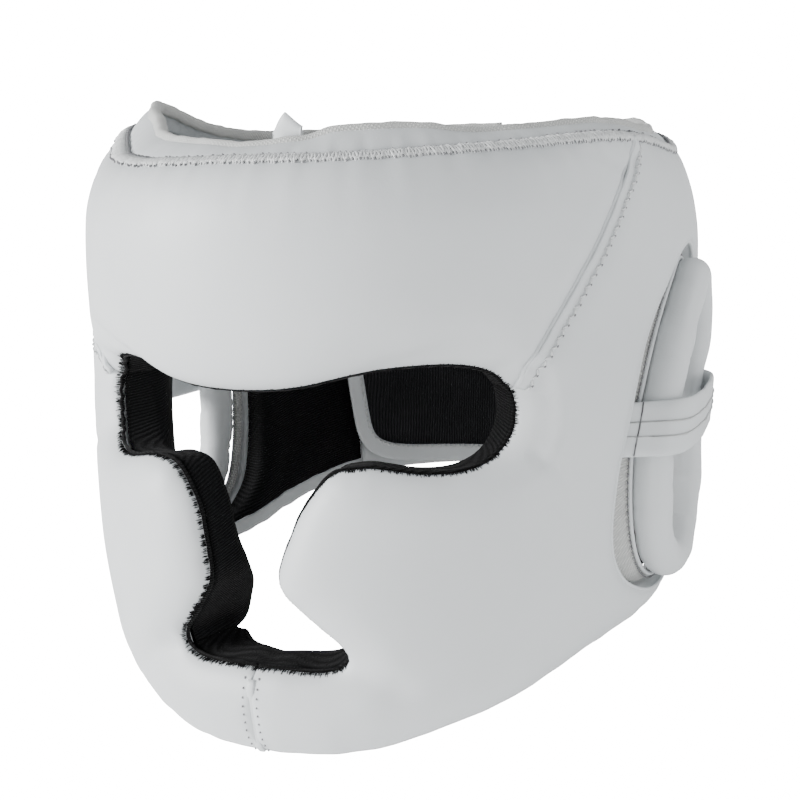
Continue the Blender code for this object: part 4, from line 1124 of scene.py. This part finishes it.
for tag, side in (("left", 1), ("right", -1)):
    ring = ring_at(side, 0.0)
    count = len(ring)
    run = np.arange(count) * RING_STEP
    phi = np.linspace(0, 2 * math.pi, 32, endpoint=False)
    centre = ring.mean(0)
    low = ramp(-(ring[:, 1] - centre[1]), -0.010, 0.030)
    inner_side = np.clip(np.cos(phi) + 0.25, 0, 1) ** 1.5
    outer_side = np.clip(-np.cos(phi), 0, 1) ** 1.5
    pulls = (0.6 * waver(run, 0.0068, 0.8 + side) + 0.5 * waver(run, 0.0041, 2.1)) ** 2
    wrinkle = (-0.00190 * pulls[:, None] * (0.25 + 0.75 * low[:, None]) * inner_side[None]
               - 0.00085 * (waver(run, 0.0083, 1.7) ** 2)[:, None] * outer_side[None]
               + 0.00035 * waver(run, 0.027, 2.4)[:, None])
    pinch = np.exp(-((run - run[-1] * 0.60) / 0.0035) ** 2)[:, None] * inner_side[None] * -0.0018
    roll = swept("ear_roll_" + tag, skin(ring, ring_depth(ring)), facing(ring), 2 * RING_RADIUS,
                 2 * RING_RADIUS, 0.96, True, 32, wrinkle + pinch)
    settled(roll, white_leather, "white_leather", "ear_pad_" + tag)
    inner = ring_at(side, -TAPE_CLEAR)
    outer = hole_along(inner, TAPE_EDGE - 0.0004, side)
    across, factor = rounded(9, 0.10)
    spots = outer[:, None] + (inner - outer)[:, None] * across[None, :, None]
    low_side = TAPE_INNER - RING_DEPTH + ring_depth(inner)
    ripple = 0.0004 * waver(np.arange(len(outer)) * RING_STEP, 0.030, 0.9)
    deep = (TAPE_OUTER + 0.0013 + (low_side - TAPE_OUTER)[:, None] * across[None]
            + ripple[:, None] * np.sin(math.pi * across)[None])
    grid = skin(spots.reshape(-1, 2), deep.ravel()).reshape(len(outer), 9, 3)
    binding = sheet_of("ear_tape_" + tag, grid, 0.0016, factor, True)
    settled(binding, grey_tape, "grey_tape", "ear_binding_" + tag)
    bead_line = ring_at(side, -0.0071)
    bead_depth = TAPE_INNER - 0.0002 - RING_DEPTH + ring_depth(bead_line)
    edge_line = shrink(edge("ear", 1, RING_STEP)[:-1], -0.0004) * (side, 1)
    edge_line = edge_line if side > 0 else edge_line[::-1]
    for name, line, at in (("ear_bead_", bead_line, skin(bead_line, bead_depth)),
                           ("ear_edge_", edge_line, over_leather(edge_line, -0.0001))):
        bead = swept(name + tag, at, facing(line), BEAD, BEAD, 1.0, True, 10)
        settled(bead, white_leather, "white_leather")
    dashes = ring_at(side, -0.0086, 0.0026)
    at = skin(dashes, TAPE_INNER + 0.0002 - RING_DEPTH + ring_depth(dashes))
    ahead = np.roll(at, -1, 0) - at
    sew("ear_stitches_" + tag, at + ahead * 0.15, at + ahead * 0.75, facing(dashes), EAR_STITCH,
        dark_thread_and_hole_shade, "grey_tape")

# Ear straps: a doubled leather strip sewn down at the front edge of each ear hole, carried over
# the roll and tucked behind it at the rear, with two rows of lock stitch.
STRAP_WIDTH = 0.0165
STRAP_LIFT = RING_RADIUS + 0.0036
STRAP_HEIGHT = (0.523, 0.530)
STRAP_ROOT, STRAP_THICK = 0.0034, 0.0017
STRAP_STITCH, STRAP_HOLE = (0.00026, 0.00025, 0.0003), (0.00024, 0.0, 0.0002)
FOOT_STITCH = (0.00026, 0.0002, 0.0003)
ear_line, ring_line = edge("ear", 1, 0.001), edge("ring", 1, 0.001)


def angle_at(line, way, height):
    """Angle where a closed ear line passes a height, on its front side -1 or rear side 1."""
    half = line[(line[:, 0] - 0.170) * way > 0]
    return math.degrees(half[np.argmin(np.abs(half[:, 1] - HEIGHT * height)), 0] / PATTERN_RADIUS)


for tag, side in (("left", 1), ("right", -1)):
    across, factor = rounded(13, 0.10)
    rows = []
    for lift in across - 0.5:
        low, high = [h + lift * STRAP_WIDTH / HEIGHT for h in STRAP_HEIGHT]
        front, rear = angle_at(ring_line, -1, low), angle_at(ring_line, 1, high)
        stops = [(angle_at(ear_line, -1, low) + math.degrees(0.0014 / PATTERN_RADIUS), STRAP_ROOT)]
        for middle, turns in ((front, (165, 143, 118, 90)), (rear, (90, 65, 42, 20))):
            stops += [(middle + math.degrees(STRAP_LIFT * math.cos(math.radians(t)) / PATTERN_RADIUS),
                       RING_DEPTH - STRAP_LIFT * math.sin(math.radians(t))) for t in turns]
        stops = np.array(stops)
        stops[:, 0] = np.radians(stops[:, 0]) * PATTERN_RADIUS
        stops = spaced(stops, 0.0015)
        line = eased(read_at(stops, np.arange(len(stops)), np.linspace(0, len(stops) - 1, 64)), 10)
        share = np.clip((turn_of(line) - front) / (rear - front), 0, 1)
        height = STRAP_HEIGHT[0] + (STRAP_HEIGHT[1] - STRAP_HEIGHT[0]) * share
        wide = STRAP_WIDTH * (1.04 - 0.16 * share)
        spot = np.stack([line[:, 0] * side, height * HEIGHT + lift * wide], axis=1)
        uneven = 0.0002 * waver(share * 0.04, 0.013, 0.5 + lift)
        rows.append(skin(spot, line[:, 1] + RING_WAIST * share - uneven))
    grid = np.stack(rows, axis=1)
    grid = grid if side > 0 else grid[:, ::-1]
    strap = sheet_of("ear_strap_band_" + tag, grid, STRAP_THICK, factor)
    settled(strap, white_leather, "white_leather", "ear_strap_" + tag)
    normal = np.cross(np.gradient(grid, axis=0), np.gradient(grid, axis=1))
    normal /= np.linalg.norm(normal, axis=2)[..., None]
    for row, column in enumerate((0.36, 0.66)):
        position = column if side > 0 else 1 - column
        k = int(np.argmin(np.abs(across - position)))
        path = grid[:, k] + normal[:, k] * (STRAP_THICK / 2)
        even = spaced(np.hstack([path, normal[:, k]]), 0.0023)
        at, out = even[:, :3], even[:-1, 3:]
        between(at, out, STRAP_STITCH, "ear_strap_stitches_%s_%d" % (tag, row + 1), 0.14)
        # Needle holes at each stitch end: short dark spindles of painted shade.
        step = (at[1:] - at[:-1]) * 0.10
        sew("ear_strap_holes_%s_%d" % (tag, row + 1), at[:-1] - step, at[:-1] + step, out, STRAP_HOLE,
            dark_thread_and_hole_shade)
    foot = grid[3, 1:12] + normal[3, 1:12] * (STRAP_THICK / 2)
    even = spaced(np.hstack([foot, normal[3, 1:12]]), 0.0021)
    between(even[:, :3], even[:-1, 3:], FOOT_STITCH, "ear_strap_foot_" + tag, 0.2, dark_thread_and_hole_shade)

# Rear closure: a flap of loop-faced fastener lying inside the right rear lining, its free edge
# bound with a flat white band, and a white strap below it.
FLAP_DEPTH, FLAP_THICK, FLAP_TOP = 0.0230, 0.0028, 0.800
FLAP_NEAR, FLAP_FAR, FLAP_CORNER = 150, 223.6, 0.385
flap_low = np.array([(FLAP_NEAR, 0.356), (165, 0.342), (180, 0.336), (196, 0.336), (208, 0.338),
                     (215, 0.344), (220, 0.358), (FLAP_FAR, FLAP_CORNER)], float)


def spread(low, share):
    """Angle of the flap at a share of its height: its free edge swings out towards mid height."""
    return low + (low - FLAP_NEAR) / 73.6 * 2.4 * np.sin(np.minimum(share * 2.4, 1) * math.pi / 2)


flap_run = np.concatenate([np.linspace(FLAP_NEAR, 214, 36), np.linspace(215, FLAP_FAR, 12)])
low_edge = np.interp(flap_run, flap_low[:, 0], flap_low[:, 1])
share, _ = rounded(26, 0.1)
angle = spread(flap_run[:, None], share[None])
height = low_edge[:, None] + (FLAP_TOP - low_edge[:, None]) * share[None]
spots = on_pattern(np.stack([angle, height], axis=2).reshape(-1, 2))
bulge = 0.0004 * waver(spots[:, 0] + 0.5 * spots[:, 1], 0.030, 0.3)
flap_grid = skin(spots, FLAP_DEPTH + FLAP_THICK / 2 + bulge).reshape(len(flap_run), 26, 3)
_, factor = rounded(26, 0.02)
flap = sheet_of("closure_flap_face", flap_grid, FLAP_THICK, factor)
black_fastener = knit("black_fastener", (0.009, 0.009, 0.010), (0.045, 0.046, 0.049), 0.0010)
for node in black_fastener.node_tree.nodes:
    if node.type == "TEX_WAVE":
        node.bands_direction = "X"
settled(flap, black_fastener, "black_fastener", "closure_flap")

lower = np.stack([flap_run, low_edge], axis=1)[:-1]
share_up = np.linspace(0, 1, 60)
rising = np.stack([spread(FLAP_FAR + 0 * share_up, share_up),
                   FLAP_CORNER + (FLAP_TOP - FLAP_CORNER) * share_up], axis=1)
border = eased(spaced(on_pattern(np.vstack([lower, rising])), 0.0022), 8)
BAND_WIDTH, FLAP_FACE = 0.0070, FLAP_DEPTH + FLAP_THICK
line = beside(border, BAND_WIDTH * 0.32)
band = swept("closure_band", skin(line, FLAP_FACE + 0.0006), -facing(line), BAND_WIDTH, 0.0017, 0.45,
             around=18)
settled(band, white_leather, "white_leather", "closure_binding")
hold = spaced(beside(border, BAND_WIDTH * 0.72), 0.0015)
hold = beside(hold, np.where(np.arange(len(hold)) % 2 == 0, 0.0008, -0.0008))
at = skin(hold, FLAP_FACE + 0.0015)
sew("closure_zigzag", at[:-1], at[1:], -facing(hold)[:-1], (0.00028, 0.0004, 0.0004))

strap_low = np.array([(158, 0.336), (175, 0.330), (195, 0.326), (210, 0.322), (222.8, 0.318)], float)
strap_run = np.linspace(156, 222.8, 60)
strap_height = np.interp(strap_run, strap_low[:, 0], strap_low[:, 1])
share, factor = rounded(13, 0.08)
strap_rows = strap_height[:, None] + 0.080 * share[None]
spots = on_pattern(np.stack(np.broadcast_arrays(strap_run[:, None], strap_rows), axis=2).reshape(-1, 2))
strap_grid = skin(spots, 0.0206 + 0.0009 + 0.0003 * waver(spots[:, 0], 0.02, 1.9)).reshape(60, 13, 3)
strap = sheet_of("closure_lower_strap", strap_grid, 0.0018, factor)
settled(strap, white_leather, "white_leather", "closure_strap")

bpy.context.view_layer.update()
